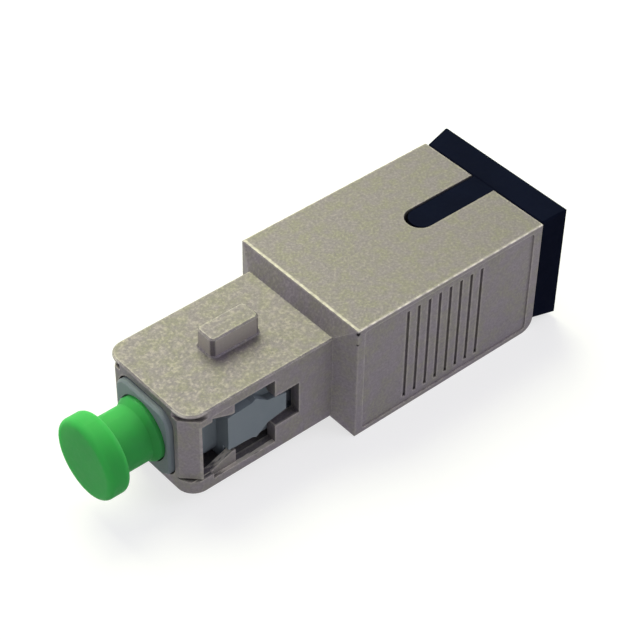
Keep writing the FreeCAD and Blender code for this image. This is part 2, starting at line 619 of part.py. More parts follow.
def build_plug_frame():
    """Sliding moulding in the plug section, bored for the mating sleeve, collar and spring."""
    body = new_body("plug_frame")
    section = add_sketch(body, "Section", "YZ_Plane", "-nose_setback")
    draw_rounded_rectangle(section, FRAME_HALF_WIDE, FRAME_HALF_TALL, "frame_corner")
    pad(body, "Block", section, "nose_setback + frame_tail")
    front = add_sketch(body, "NoseSection", "YZ_Plane", FRAME_FRONT)
    draw_rounded_rectangle(front, "(nose_wide / 2)", FRAME_HALF_TALL, "nose_corner")
    pad(body, "Nose", front, f"{WEB_REAR} - {FRAME_FRONT}")
    dress(body, "Chamfer", "FrontBevel",
          lambda edge: edge.BoundBox.XMax < number(FRAME_FRONT) + NEAR, "frame_bevel")

    latch = add_sketch(body, "LatchSide", "XZ_Plane")
    upper = [
        ("-nose_setback", "latch_front_tall / 2"),
        ("-latch_peak - latch_slope", "latch_nick_tall / 2"),
        ("-latch_peak", "latch_tall / 2"),
        ("-latch_waist", "latch_waist_tall / 2"),
        ("-latch_setback", "latch_tip_tall / 2"),
    ]
    lower = [(along, f"-({up})") for along, up in reversed(upper)]
    draw_outline(latch, upper + lower)
    pad(body, "LatchBlocks", latch, f"2 * {FRAME_HALF_WIDE} + 2 * latch_rise", both_ways=True)
    recesses = add_sketch(body, "HookRecessPlan", "XY_Plane")
    for sign in ("", "-"):
        draw_rectangle(recesses, "-latch_setback", "hook_recess_long - latch_setback",
                       f"{sign}({FRAME_HALF_WIDE} - hook_recess_deep)",
                       f"{sign}({FRAME_HALF_WIDE} + latch_rise + {BEYOND})")
    pocket(body, "HookRecesses", recesses, "hook_recess_tall", both_ways=True)

    nose = add_sketch(body, "NoseBore", "YZ_Plane", FRAME_FRONT)
    draw_circle(nose, "0", "0", "nose_bore")
    pocket(body, "SleeveBore", nose, "nose_deep")
    hole = add_sketch(body, "WebHole", "YZ_Plane", FRAME_FRONT)
    draw_rectangle(hole, "-web_bore / 2", "web_bore / 2", "-web_bore / 2", "web_bore / 2")
    pocket(body, "KeyedHole", hole, "nose_deep + web_thick")
    tail = add_sketch(body, "TailBore", "YZ_Plane", WEB_REAR)
    draw_circle(tail, "0", "0", "tail_bore")
    pocket(body, "SpringBore", tail, f"frame_tail - {WEB_REAR}")
    lugs = add_sketch(body, "LugWindows", "XY_Plane")
    draw_rectangle(lugs, "frame_tail - lug_setback - lug_long - fit_gap",
                   "frame_tail - lug_setback + fit_gap",
                   "-lug_wide / 2 - fit_gap", "lug_wide / 2 + fit_gap")
    pocket(body, "SnapWindows", lugs, "plug_tall", both_ways=True)
    return body


def build_sleeve_seat():
    """Spigot in the frame's tail that backs the spring and seats the split sleeve."""
    body = new_body("sleeve_seat")
    spigot = add_sketch(body, "Spigot", "YZ_Plane", "-seat_setback")
    draw_circle(spigot, "0", "0", "tail_bore - 2 * fit_gap")
    pad(body, "SpigotTube", spigot, "seat_setback + frame_tail + fit_gap + seat_flange / 2")
    flange = add_sketch(body, "Flange", "YZ_Plane", "frame_tail + fit_gap")
    draw_rectangle(flange, f"-{FRAME_HALF_WIDE}", FRAME_HALF_WIDE, f"-{FRAME_HALF_TALL}", FRAME_HALF_TALL)
    pad(body, "FlangePlate", flange, "seat_flange")
    lugs = add_sketch(body, "LugPlan", "XY_Plane")
    draw_rectangle(lugs, "frame_tail - lug_setback - lug_long", "frame_tail - lug_setback",
                   "-lug_wide / 2", "lug_wide / 2")
    pad(body, "SnapLugs", lugs, "tail_bore - 2 * fit_gap + 2 * lug_proud", both_ways=True)
    bore = add_sketch(body, "SleeveBore", "YZ_Plane", "seat_wall - seat_setback")
    draw_circle(bore, "0", "0", "sleeve_wide + 2 * sleeve_gap")
    pocket(body, "SleevePocket", bore, "seat_setback + frame_tail + seat_flange")
    hole = add_sketch(body, "FerruleHole", "YZ_Plane", "-seat_setback")
    draw_circle(hole, "0", "0", "ferrule_bore + 2 * run_gap")
    pocket(body, "FerrulePassage", hole, "seat_wall")
    return body


def build_latch_holder():
    """Holder behind the frame: sleeve tube and the two hook arms for the mating plug."""
    body = new_body("latch_holder")
    block = add_sketch(body, "Block", "YZ_Plane", HOLDER_FRONT)
    draw_rectangle(block, f"-{FRAME_HALF_WIDE}", FRAME_HALF_WIDE, f"-{FRAME_HALF_TALL}", FRAME_HALF_TALL)
    pad(body, "FrontBlock", block, f"{PLATE_FRONT} - {HOLDER_FRONT}")
    plate = add_sketch(body, "Plate", "YZ_Plane", PLATE_FRONT)
    draw_rectangle(plate, "-holder_plate_wide / 2", "holder_plate_wide / 2",
                   "-holder_plate_tall / 2", "holder_plate_tall / 2")
    pad(body, "BackPlate", plate, "holder_plate")
    tube = add_sketch(body, "Tube", "YZ_Plane", PLATE_FRONT)
    draw_circle(tube, "0", "0", "holder_tube")
    pad(body, "SleeveTube", tube, f"{TUBE_END} - {PLATE_FRONT}")
    arms = add_sketch(body, "ArmPlan", "XY_Plane")
    hook_rear = f"({PLATE_REAR} + arm_long)"
    for sign in ("", "-"):
        outside = f"{sign}(socket_wide / 2 - arm_gap)"
        inside = f"{sign}(socket_wide / 2 - arm_gap - arm_thick)"
        hook = f"{sign}(socket_wide / 2 - arm_gap - arm_thick - hook_drop)"
        draw_outline(arms, [
            (f"{PLATE_REAR} - holder_plate / 2", outside),
            (f"{hook_rear}", outside),
            (f"{hook_rear}", inside),
            (f"{hook_rear} - hook_long / 2", hook),
            (f"{hook_rear} - hook_long", hook),
            (f"{hook_rear} - hook_long", inside),
            (f"{PLATE_REAR} - holder_plate / 2", inside),
        ])
    pad(body, "HookArms", arms, "arm_tall", both_ways=True)
    bore = add_sketch(body, "Bore", "YZ_Plane", HOLDER_FRONT)
    draw_circle(bore, "0", "0", "sleeve_wide + 2 * sleeve_gap")
    pocket(body, "SleeveBore", bore, f"{TUBE_END} - lip_thick - {HOLDER_FRONT}")
    lip = add_sketch(body, "Lip", "YZ_Plane", HOLDER_FRONT)
    draw_circle(lip, "0", "0", "ferrule_bore + 2 * lip_gap")
    pocket(body, "LipHole", lip, f"{TUBE_END} - {HOLDER_FRONT}")
    return body


def build_split_sleeve():
    """Slotted ceramic sleeve."""
    body = new_body("split_sleeve")
    wall = add_sketch(body, "Wall", "YZ_Plane", SLEEVE_FRONT)
    draw_circle(wall, "0", "0", "sleeve_wide")
    draw_circle(wall, "0", "0", "sleeve_wide - 2 * sleeve_wall")
    pad(body, "Tube", wall, "sleeve_long")
    split = add_sketch(body, "SplitPlan", "XY_Plane")
    draw_rectangle(split, f"{SLEEVE_FRONT} - {BEYOND}", f"{SLEEVE_FRONT} + sleeve_long + {BEYOND}",
                   "-sleeve_split / 2", "sleeve_split / 2")
    pocket(body, "Split", split, "sleeve_wide")
    return body


def cut_angled_ends(body):
    """Take both ends off at the polishing angle, leaving the upper front and lower rear edge."""
    ends = add_sketch(body, "AngledEnds", "XZ_Plane")
    slant = "(ferrule_bore * tan(end_angle))"
    high = f"(ferrule_bore / 2 + {END_OVER})"
    front = f"{FERRULE_TIP} - {END_OVER}"
    rear = f"ferrule_rear + {END_OVER}"
    draw_outline(ends, [(FERRULE_TIP, high), (front, high), (front, f"-{high}"),
                        (f"{FERRULE_TIP} + {slant}", f"-{high}")])
    draw_outline(ends, [(f"ferrule_rear - {slant}", high), ("ferrule_rear", f"-{high}"),
                        (rear, f"-{high}"), (rear, high)])
    pocket(body, "Polish", ends, f"ferrule_bore + {BEYOND}", both_ways=True)


def build_ferrule():
    """Ceramic ferrule with angled ends and a bore for the fibre."""
    body = new_body("ferrule")
    half = add_sketch(body, "HalfProfile", "XZ_Plane")
    skin = "ferrule_bore / 2"
    core = "fibre_thick / 2 + fibre_gap"
    draw_outline(half, [
        (FERRULE_TIP, core),
        (FERRULE_TIP, f"{skin} - ferrule_bevel"),
        (f"{FERRULE_TIP} + ferrule_bevel_long", skin),
        ("ferrule_rear - ferrule_bevel_long", skin),
        ("ferrule_rear", f"{skin} - ferrule_bevel"),
        ("ferrule_rear", core),
    ])
    turn(body, "Barrel", half)
    cut_angled_ends(body)
    return body


def build_doped_fibre():
    """Attenuating fibre that fills the ferrule's bore."""
    body = new_body("doped_fibre")
    section = add_sketch(body, "Section", "YZ_Plane", FERRULE_TIP)
    draw_circle(section, "0", "0", "fibre_thick")
    pad(body, "Fibre", section, f"ferrule_rear - {FERRULE_TIP}")
    cut_angled_ends(body)
    return body


def build_ferrule_collar():
    """Metal flange on the ferrule: square nose in the web, round flange, hub inside the spring."""
    body = new_body("ferrule_collar")
    flange = add_sketch(body, "Flange", "YZ_Plane", COLLAR_FRONT)
    draw_circle(flange, "0", "0", "tail_bore - 2 * run_gap")
    pad(body, "FlangeDisc", flange, "collar_thick")
    nose = add_sketch(body, "Nose", "YZ_Plane", WEB_FRONT)
    draw_rectangle(nose, "run_gap - web_bore / 2", "web_bore / 2 - run_gap",
                   "run_gap - web_bore / 2", "web_bore / 2 - run_gap")
    pad(body, "SquareNose", nose, "web_thick + fit_gap + collar_thick / 2")
    hub = add_sketch(body, "Hub", "YZ_Plane", COLLAR_FRONT)
    draw_circle(hub, "0", "0", "collar_hub")
    pad(body, "RearHub", hub, "collar_thick + collar_hub_long")
    bore = add_sketch(body, "Bore", "YZ_Plane", WEB_FRONT)
    draw_circle(bore, "0", "0", "ferrule_bore + 2 * press_gap")
    pocket(body, "FerruleBore", bore, f"{COLLAR_REAR} + collar_hub_long - {WEB_FRONT}")
    return body


def build_spring():
    """Compression spring between collar and seat, with its ends ground flat.

    The wire's section has eight flats, as wide across the flats as the wire is thick.
    """
    body = new_body("spring")
    wire = add_sketch(body, "Wire", "XZ_Plane")
    middle = "(spring_wide - wire_thick) / 2"
    flat = f"wire_thick / 2 * tan({EIGHTH_TURN} / 2)"
    face = "wire_thick / 2"
    draw_outline(wire, [(f"{SPRING_FRONT} + {along}", f"{middle} + {out}") for along, out in (
        (face, flat), (flat, face), (f"-({flat})", face), (f"-({face})", flat),
        (f"-({face})", f"-({flat})"), (f"-({flat})", f"-({face})"), (flat, f"-({face})"),
        (face, f"-({flat})"))])
    doc.recompute()
    coil = body.newObject("PartDesign::AdditiveHelix", "Coil")
    coil.Profile = wire
    coil.ReferenceAxis = (wire, ["H_Axis"])
    coil.Mode = "height-turns-angle"
    coil.setExpression("Height", bound(f"{SPRING_REAR} - {SPRING_FRONT}"))
    coil.setExpression("Turns", bound("spring_turns"))
    wire.Visibility = False
    doc.recompute()
    ends = add_sketch(body, "GroundEnds", "XZ_Plane")
    draw_rectangle(ends, f"{SPRING_FRONT} - {BEYOND}", SPRING_FRONT, "-spring_wide", "spring_wide")
    draw_rectangle(ends, SPRING_REAR, f"{SPRING_REAR} + {BEYOND}", "-spring_wide", "spring_wide")
    pocket(body, "Grinding", ends, "2 * spring_wide", both_ways=True)
    return body


def build_plug_cap():
    """Dust cap over the ferrule: spigot in the frame's bore, neck and knob, turned in one."""
    body = new_body("plug_cap")
    half = add_sketch(body, "HalfProfile", "XZ_Plane")
    spigot = "nose_bore / 2 - cap_gap"
    draw_outline(half, [
        (KNOB_FRONT, "0"),
        (KNOB_FRONT, "cap_disc / 2"),
        (KNOB_REAR, "cap_disc / 2"),
        (KNOB_REAR, "cap_neck / 2"),
        (f"{FRAME_FRONT} - cap_collar_proud - cap_flare", "cap_neck / 2"),
        (f"{FRAME_FRONT} - cap_collar_proud", spigot),
        (f"{FRAME_FRONT} + cap_deep", spigot),
        (f"{FRAME_FRONT} + cap_deep", "ferrule_bore / 2 + run_gap"),
        (f"{FERRULE_TIP} - cap_bore_end", "ferrule_bore / 2 + run_gap"),
        (f"{FERRULE_TIP} - cap_bore_end", "0"),
    ])
    turn(body, "CapBody", half)
    dress(body, "Fillet", "KnobRim",
          lambda edge: edge.BoundBox.ZLength > number("cap_disc") - NEAR, "cap_round")
    return body


def build_socket_cap():
    """Dust cap of the socket: flange, hollow stopper and the rib that fills the key slot."""
    body = new_body("socket_cap")
    top = "(body_tall / 2 + flange_over)"
    flange = add_sketch(body, "Flange", "YZ_Plane", FLANGE_REAR)
    draw_rectangle(flange, "-flange_wide / 2", "flange_wide / 2", f"{top} - flange_tall", top)
    plate = pad(body, "FlangePlate", flange, "flange_thick", backwards=True)
    plate.setExpression("TaperAngle", bound("-atan(flange_flare / flange_thick)"))
    doc.recompute()
    dress(body, "Chamfer", "FlangeEdges", lambda edge: True, "flange_edge")
    stopper_front = f"({FLANGE_FRONT} - stopper_long)"
    stopper = add_sketch(body, "Stopper", "YZ_Plane", stopper_front)
    wide = "socket_wide / 2 - stopper_gap"
    tall = f"{SOCKET_TALL} / 2 - stopper_gap"
    draw_rectangle(stopper, f"-({wide})", wide, f"-({tall})", tall)
    pad(body, "StopperBlock", stopper, "stopper_long + flange_thick / 2")
    rib = add_sketch(body, "RibPlan", "XY_Plane", f"{SOCKET_TALL} / 2 - stopper_gap - stopper_wall / 2")
    draw_round_ended(rib, f"{BODY_REAR} - slot_long + rib_end_gap", f"{FLANGE_FRONT} + flange_thick / 2", "0",
                     "slot_wide - 2 * rib_gap")
    pad(body, "KeyRib", rib,
        f"body_tall / 2 - rib_drop - {SOCKET_TALL} / 2 + stopper_gap + stopper_wall / 2")
    hollow = add_sketch(body, "Hollow", "YZ_Plane", stopper_front)
    draw_rectangle(hollow, f"stopper_wall - ({wide})", f"{wide} - stopper_wall",
                   f"stopper_wall - ({tall})", f"{tall} - stopper_wall")
    pocket(body, "StopperHollow", hollow, "stopper_long")
    return body


BUILDERS = (
    build_outer_shell, build_socket_insert, build_plug_frame, build_sleeve_seat, build_latch_holder,
    build_split_sleeve, build_ferrule, build_doped_fibre, build_ferrule_collar, build_spring,
    build_plug_cap, build_socket_cap,
)
pieces = [build() for build in BUILDERS]
doc.recompute()

for thing in doc.Objects:
    if {"Invalid", "Error"} & set(thing.State):
        raise RuntimeError(f"{thing.Label} did not solve: {thing.State}")

os.makedirs("parts", exist_ok=True)
for piece in pieces:
    if piece.Shape.isNull() or not piece.Shape.isValid() or len(piece.Shape.Solids) != 1:
        raise RuntimeError(f"{piece.Label} is not one sound solid")
    piece.Shape.exportStep(f"parts/{piece.Label}.step")
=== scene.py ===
"""Looks of the plug-in fibre attenuator: finishes for its twelve pieces, studio, camera.

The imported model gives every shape. This script dresses each piece in the finish of its
real material and lights and frames the whole as one studio shot on a white table.
"""

import json
import logging
import math
from abc import ABC, abstractmethod
from collections.abc import Mapping, Sequence
from dataclasses import dataclass
from enum import Enum

import bpy
from mathutils import Matrix, Vector

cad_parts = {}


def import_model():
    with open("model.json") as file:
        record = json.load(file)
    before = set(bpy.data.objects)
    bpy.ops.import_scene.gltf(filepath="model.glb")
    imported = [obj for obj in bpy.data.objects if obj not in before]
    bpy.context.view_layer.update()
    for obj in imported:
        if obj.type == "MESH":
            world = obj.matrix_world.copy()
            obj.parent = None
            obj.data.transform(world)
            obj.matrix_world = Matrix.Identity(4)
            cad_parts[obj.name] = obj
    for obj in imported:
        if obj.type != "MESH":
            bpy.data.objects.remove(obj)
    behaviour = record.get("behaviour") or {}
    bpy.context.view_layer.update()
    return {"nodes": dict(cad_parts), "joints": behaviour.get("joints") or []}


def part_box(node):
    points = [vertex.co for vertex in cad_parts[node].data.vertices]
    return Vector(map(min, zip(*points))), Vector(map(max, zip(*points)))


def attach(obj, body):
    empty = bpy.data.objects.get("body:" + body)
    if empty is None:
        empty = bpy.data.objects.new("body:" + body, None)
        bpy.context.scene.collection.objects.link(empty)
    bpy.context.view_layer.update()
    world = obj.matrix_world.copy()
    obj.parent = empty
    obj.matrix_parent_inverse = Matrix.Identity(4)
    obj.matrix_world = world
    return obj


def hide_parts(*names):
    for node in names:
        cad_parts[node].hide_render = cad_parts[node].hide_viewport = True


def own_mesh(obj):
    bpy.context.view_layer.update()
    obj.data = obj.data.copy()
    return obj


LOG = logging.getLogger("fibre_attenuator")
MM = 0.001

# The Mix node's sockets for colours share their names with its sockets for other data, so
# they are told by their places.
MIX_SHARE = 0
MIX_FROM = 6
MIX_TO = 7
MIX_RESULT = 2

Colour = tuple[float, float, float, float]
Setting = bool | int | float | str
Socket = bpy.types.NodeSocket
Input = Socket | float | Sequence[float]
Inputs = dict[str | int, Input]


class Axis(Enum):
    """The three directions of the part's own frame."""

    X = 0
    Y = 1
    Z = 2


class Side(Enum):
    """The side of a limit on which a zone lies."""

    UNDER = "LESS_THAN"
    OVER = "GREATER_THAN"


class Joining(Enum):
    """How masks are joined: to where all of them hold, or to where any of them does."""

    ALL = "MULTIPLY"
    ANY = "MAXIMUM"


def srgb(code: str) -> Colour:
    """Turns a colour as the eye reads it into the renderer's linear light.

    Args:
        code: sRGB colour as "#rrggbb".

    Returns:
        Linear red, green, blue and an alpha of one.
    """
    parts = [int(code[i : i + 2], 16) / 255 for i in (1, 3, 5)]
    red, green, blue = (p / 12.92 if p <= 0.04045 else ((p + 0.055) / 1.055) ** 2.4 for p in parts)
    return red, green, blue, 1.0


def toward(azimuth: float, elevation: float) -> Vector:
    """Gives the direction that leads away from the part at two angles.

    Args:
        azimuth: Degrees from the part's near side towards its rear end.
        elevation: Degrees above the table.

    Returns:
        Vector of length one.
    """
    turn, rise = math.radians(azimuth), math.radians(elevation)
    return Vector(
        (math.sin(turn) * math.cos(rise), -math.cos(turn) * math.cos(rise), math.sin(rise))
    )


def feed(tree: bpy.types.NodeTree, node: bpy.types.Node, inputs: Inputs) -> None:
    """Gives the input sockets of a node their values and links.

    Args:
        tree: Node tree that the node is in.
        node: The node.
        inputs: Input sockets by name or place, each with a value or the socket that feeds it.
    """
    for key, value in inputs.items():
        if isinstance(value, Socket):
            tree.links.new(value, node.inputs[key])
        else:
            node.inputs[key].default_value = value


def add_node(
    tree: bpy.types.NodeTree,
    kind: str,
    inputs: Inputs | None = None,
    **settings: Setting,
) -> bpy.types.Node:
    """Adds one shader node with its settings, values and links.

    Args:
        tree: Node tree that the node goes into.
        kind: Node type without its "ShaderNode" prefix.
        inputs: Input sockets by name or place, each with a value or the socket that feeds it.
        **settings: The node's own options.

    Returns:
        The new node.
    """
    node = tree.nodes.new(f"ShaderNode{kind}")
    for name, value in settings.items():
        setattr(node, name, value)
    feed(tree, node, inputs or {})
    return node


def combine(tree: bpy.types.NodeTree, joining: Joining, masks: Sequence[Socket]) -> Socket:
    """Joins any number of masks into one.

    Args:
        tree: Node tree of the material.
        joining: Whether all of the masks have to hold, or any of them.
        masks: Sockets from 0 to 1.

    Returns:
        Output socket from 0 to 1.
    """
    joined = masks[0]
    for mask in masks[1:]:
        joined = add_node(tree, "Math", {0: joined, 1: mask}, operation=joining.value).outputs[0]
    return joined


@dataclass(frozen=True)
class Pattern:
    """An uneven pattern whose blotches have about one real size.

    Attributes:
        size_mm: Size of the blotches.
        detail: Number of finer layers in them.
        coarseness: Strength of each finer layer, as a share of the one before.
        swirl: How strongly the pattern is twisted.
    """

    size_mm: float
    detail: float = 2.0
    coarseness: float = 0.5
    swirl: float = 0.0

    def inputs(self, place: Socket) -> Inputs:
        """Gives the inputs of a noise node that draws the pattern.

        Args:
            place: Place on the part.

        Returns:
            Input sockets by name with their values.
        """
        return {
            "Vector": place,
            "Scale": 1.0 / (self.size_mm * MM),
            "Detail": self.detail,
            "Roughness": self.coarseness,
            "Distortion": self.swirl,
        }


@dataclass(frozen=True)
class Fade:
    """Turns a measure into a strength that changes evenly between two of its values.

    Attributes:
        start: Value of the measure at which the change starts.
        end: Value at which it ends.
        first: Strength before the start.
        last: Strength after the end.
    """

    start: float = 0.0
    end: float = 1.0
    first: float = 0.0
    last: float = 1.0

    def inputs(self, measure: Socket) -> Inputs:
        """Gives the inputs of a range node that works out the strength.

        Args:
            measure: Socket with the measure.

        Returns:
            Input sockets by name with their values.
        """
        return {
            "Value": measure,
            "From Min": self.start,
            "From Max": self.end,
            "To Min": self.first,
            "To Max": self.last,
        }


@dataclass(frozen=True)
class Surface:
    """Sockets that tell where a point of the surface is and which way it faces.

    Attributes:
        place: Place on the part.
        along: Its distance behind the part's own zero.
        aside: Its distance from the middle plane, to either side.
        height: Its height above the table.
        faces_rear: How much the surface faces the rear, from -1 to 1.
        faces_far: How much it faces the far side, from -1 to 1.
        faces_up: How much it faces up, from -1 to 1.
    """

    place: Socket
    along: Socket
    aside: Socket
    height: Socket
    faces_rear: Socket
    faces_far: Socket
    faces_up: Socket

    @classmethod
    def read(cls, tree: bpy.types.NodeTree) -> "Surface":
        """Adds the nodes that read the point.

        Args:
            tree: Node tree of the material.

        Returns:
            The sockets of the point.
        """
        point = add_node(tree, "TexCoord")
        where = add_node(tree, "SeparateXYZ", {0: point.outputs["Object"]})
        facing = add_node(tree, "SeparateXYZ", {0: point.outputs["Normal"]})
        aside = add_node(tree, "Math", {0: where.outputs["Y"]}, operation="ABSOLUTE")
        return cls(
            place=point.outputs["Object"],
            along=where.outputs["X"],
            aside=aside.outputs["Value"],
            height=where.outputs["Z"],
            faces_rear=facing.outputs["X"],
            faces_far=facing.outputs["Y"],
            faces_up=facing.outputs["Z"],
        )


@dataclass(frozen=True)
class Zone:
    """A stretch of the part that lies between some limits, in millimetres.

    Attributes:
        ahead_of: Place along the part that the zone is ahead of.
        behind: Place along the part that it is behind.
        below: Height that it is below.
        above: Height that it is above.
        within: Distance from the middle plane that it is nearer than.
        outside: Distance from the middle plane that it is farther out than.
    """

    ahead_of: float | None = None
    behind: float | None = None
    below: float | None = None
    above: float | None = None
    within: float | None = None
    outside: float | None = None

    def masks(self, tree: bpy.types.NodeTree, surface: Surface) -> list[Socket]:
        """Finds the zone's side of each limit that it has.

        Args:
            tree: Node tree of the material.
            surface: The point of the surface.

        Returns:
            Output sockets that are 1 on the zone's side of a limit and 0 on the other.
        """
        limits = (
            (surface.along, Side.UNDER, self.ahead_of),
            (surface.along, Side.OVER, self.behind),
            (surface.height, Side.UNDER, self.below),
            (surface.height, Side.OVER, self.above),
            (surface.aside, Side.UNDER, self.within),
            (surface.aside, Side.OVER, self.outside),
        )
        return [
            add_node(tree, "Math", {0: measure, 1: limit * MM}, operation=side.value).outputs[0]
            for measure, side, limit in limits
            if limit is not None
        ]


@dataclass(frozen=True)
class Finish(ABC):
    """One real material together with the way its surface was made.

    Attributes:
        label: Name of the material as a maker would say it.
    """

    label: str

    @abstractmethod
    def paint(self, tree: bpy.types.NodeTree, shader: bpy.types.Node) -> None:
        """Adds the nodes that give the surface its colour, roughness and relief.

        Args:
            tree: Node tree of the material.
            shader: The material's Principled shader.
        """

    def make(self) -> bpy.types.Material:
        """Builds the Blender material for this finish.

        Returns:
            A node material with one Principled shader.
        """
        material = bpy.data.materials.new(self.label)
        material.use_nodes = True
        tree = material.node_tree
        tree.nodes.clear()
        shader = add_node(tree, "BsdfPrincipled")
        add_node(tree, "OutputMaterial", {"Surface": shader.outputs["BSDF"]})
        self.paint(tree, shader)
        return material


@dataclass(frozen=True)
class CastingPit:
    """A small round hole that a gas bubble left in the casting, painted dark as painted shade.

    Attributes:
        place_mm: Place of its middle on the part.
        radius_mm: Its radius.
    """

    place_mm: tuple[float, float, float]
    radius_mm: float


@dataclass(frozen=True)
class BlastedNickelCasting(Finish):
    """Zinc die casting, bead blasted and then nickel plated.

    The eye sees a frosted grey metal, khaki where it faces the lamp and lilac where it faces
    the table, with fine specks and faint patches. Its specks carry painted glints and its
    dimples' hollows painted shade. Its outer edges are painted bright, partly as rubbed wear
    and partly as painted highlight, and the key's flat sides get a painted highlight. Its hook
    ramps and sills are polished in streaks and painted with highlights. Its slits are painted
    dark, as painted shade. Two small casting pits at the body's front corner are painted dark,
    as painted shade.
    """

    label: str = "bead_blasted_nickel_plated_zinc"

    plating: str = "#8d868e"
    patch: str = "#8d8a82"
    shaded_plating: str = "#817c81"
    painted_glint: str = "#b8aca8"
    rubbed_edge: str = "#efe9df"
    painted_shade: str = "#1d1a20"

    # Blasting leaves dimples of 0.03 to 0.08 mm. They are drawn at 0.15 mm, because anything
    # finer than about 0.1 mm is under one pixel of the picture.
    dimples: Pattern = Pattern(0.15, detail=4.0, coarseness=0.7)
    # Painted shade: the dimples' hollows take the darker shaded plating colour.
    dimple_shade: Fade = Fade(0.34, 0.62)
    dimple_relief: float = 0.25
    dimple_depth_mm: float = 0.012
    patches: Pattern = Pattern(1.1, detail=3.0)
    patch_shade: Fade = Fade(0.4, 0.62)

    # The peaks of the specks are smoother grains, painted lighter as glints, a painted
    # highlight. The painted glints are strongest on upper faces, and stronger on the plug
    # section, which ends at plug_rear_mm, than on the body.
    specks: Pattern = Pattern(0.2)
    speck_gloss: Fade = Fade(0.35, 0.65, first=0.72, last=0.64)
    speck_shine: Fade = Fade(0.5, 0.7)
    upper_shine: Fade = Fade(0.0, 0.9, first=0.2)
    body_shine: float = 0.18
    plug_shine: float = 0.25
    plug_rear_mm: float = -1.5

    # The sharp cast edges are softened this far, by shading.
    edge_mm: float = 0.07
    edge_rays: int = 6

    # An outer edge, painted bright partly as rubbed wear and partly as painted highlight, is
    # told by how little metal lies behind it within this reach.
    rub_and_highlight_reach_mm: float = 0.2
    rub_and_highlight_edge: Fade = Fade(0.95, 0.68)
    upper_rub_and_highlight: Fade = Fade(0.0, 0.9, first=0.15, last=0.7)
    rub_and_highlight_patches: Pattern = Pattern(0.5)
    rub_and_highlight_uneven: Fade = Fade(0.4, 0.6, first=0.55)
    reach_rays: int = 8

    # Only the body's long edges lie this far out. They are round and are told by their slant.
    # They get the same rub and painted highlight.
    long_edges: Zone = Zone(outside=5.9)
    long_edge_slant: Fade = Fade(0.12, 0.4)

    # The front edge of the body's top is painted bright in a wider band, partly as rubbed wear
    # and partly as painted highlight, evenly out to a share of the band's width.
    body_top: Zone = Zone(above=9.8)
    top_level: Fade = Fade(0.9, 0.99)
    front_edge_mm: float = -0.6
    front_band_mm: float = 0.2
    front_band_core: float = 0.5
    front_band_rub_and_highlight: float = 0.45

    # Little of the rub and painted highlight on the rim of the key slot.
    slot: Zone = Zone(behind=8.8, within=1.6)
    slot_dull: Fade = Fade(first=1.0, last=0.15)

    # The key's flat upright faces are painted lighter, a painted highlight. Its round corners
    # are not painted lighter.
    key: Zone = Zone(ahead_of=plug_rear_mm, above=8.75)
    key_flank_highlight: Fade = Fade(0.9, 0.99, last=0.5)

    # The lower ramps free a mating socket's hooks and so are polished. The sills lie under
    # the windows. On faces turned up, both are painted bright in streaks, partly as polish and
    # partly as painted highlight.
    ramps: Zone = Zone(ahead_of=-9.8, below=5.0)
    sills: Zone = Zone(ahead_of=plug_rear_mm, below=2.6, outside=4.15)
    ramp_up: Fade = Fade(0.3, 0.5)
    ramp_forward: Fade = Fade(-0.15, -0.3)
    streaks: Pattern = Pattern(0.25)
    streak_stretch: tuple[float, float, float] = (0.2, 1.0, 0.2)
    streak_shine: Fade = Fade(0.42, 0.52)

    # Painted shade darkens the surface where little of the open side is free within this reach.
    shade_reach_mm: float = 0.3
    gap_shade: Fade = Fade(0.42, 0.12, last=0.9)

    # A pit is painted fully dark, as painted shade, out to a share of its radius.
    pits: tuple[CastingPit, ...] = (
        CastingPit(place_mm=(-0.62, -6.12, 9.72), radius_mm=0.2),
        CastingPit(place_mm=(-0.62, -6.08, 8.75), radius_mm=0.13),
    )
    pit_core: float = 0.4

    def plated(
        self, tree: bpy.types.NodeTree, surface: Surface, dimples: Socket, specks: Socket
    ) -> Socket:
        """Gives the colour of the plating away from edges and gaps, with painted shade in the
        dimples' hollows and painted glints on the specks.

        Args:
            tree: Node tree of the material.
            surface: The point of the surface.
            dimples: Fine noise of the blasting.
            specks: Coarser noise, whose peaks carry painted glints.

        Returns:
            Output socket with the colour.
        """
        patches = add_node(tree, "TexNoise", self.patches.inputs(surface.place))
        patchy = add_node(tree, "MapRange", self.patch_shade.inputs(patches.outputs["Fac"]))
        hue = add_node(
            tree,
            "Mix",
            {
                MIX_SHARE: patchy.outputs["Result"],
                MIX_FROM: srgb(self.plating),
                MIX_TO: srgb(self.patch),
            },
            data_type="RGBA",
        )
        # Painted shade: where the dimples are low, the plating takes its darker shaded colour.
        grain = add_node(tree, "MapRange", self.dimple_shade.inputs(dimples))
        blasted = add_node(
            tree,
            "Mix",
            {
                MIX_SHARE: grain.outputs["Result"],
                MIX_FROM: srgb(self.shaded_plating),
                MIX_TO: hue.outputs[MIX_RESULT],
            },
            data_type="RGBA",
        )
        # Painted highlight: the specks' peaks are painted lighter as glints, most on upper faces.
        upper = add_node(tree, "MapRange", self.upper_shine.inputs(surface.faces_up))
        section = Fade(0.0, self.plug_rear_mm * MM, self.body_shine, self.plug_shine)
        coarse = add_node(tree, "MapRange", section.inputs(surface.along))
        strength = combine(tree, Joining.ALL, [upper.outputs["Result"], coarse.outputs["Result"]])
        painted_glints = add_node(tree, "MapRange", self.speck_shine.inputs(specks) | {"To Max": strength})
        return add_node(
            tree,
            "Mix",
            {
                MIX_SHARE: painted_glints.outputs["Result"],
                MIX_FROM: blasted.outputs[MIX_RESULT],
                MIX_TO: srgb(self.painted_glint),
            },
            data_type="RGBA",
        ).outputs[MIX_RESULT]

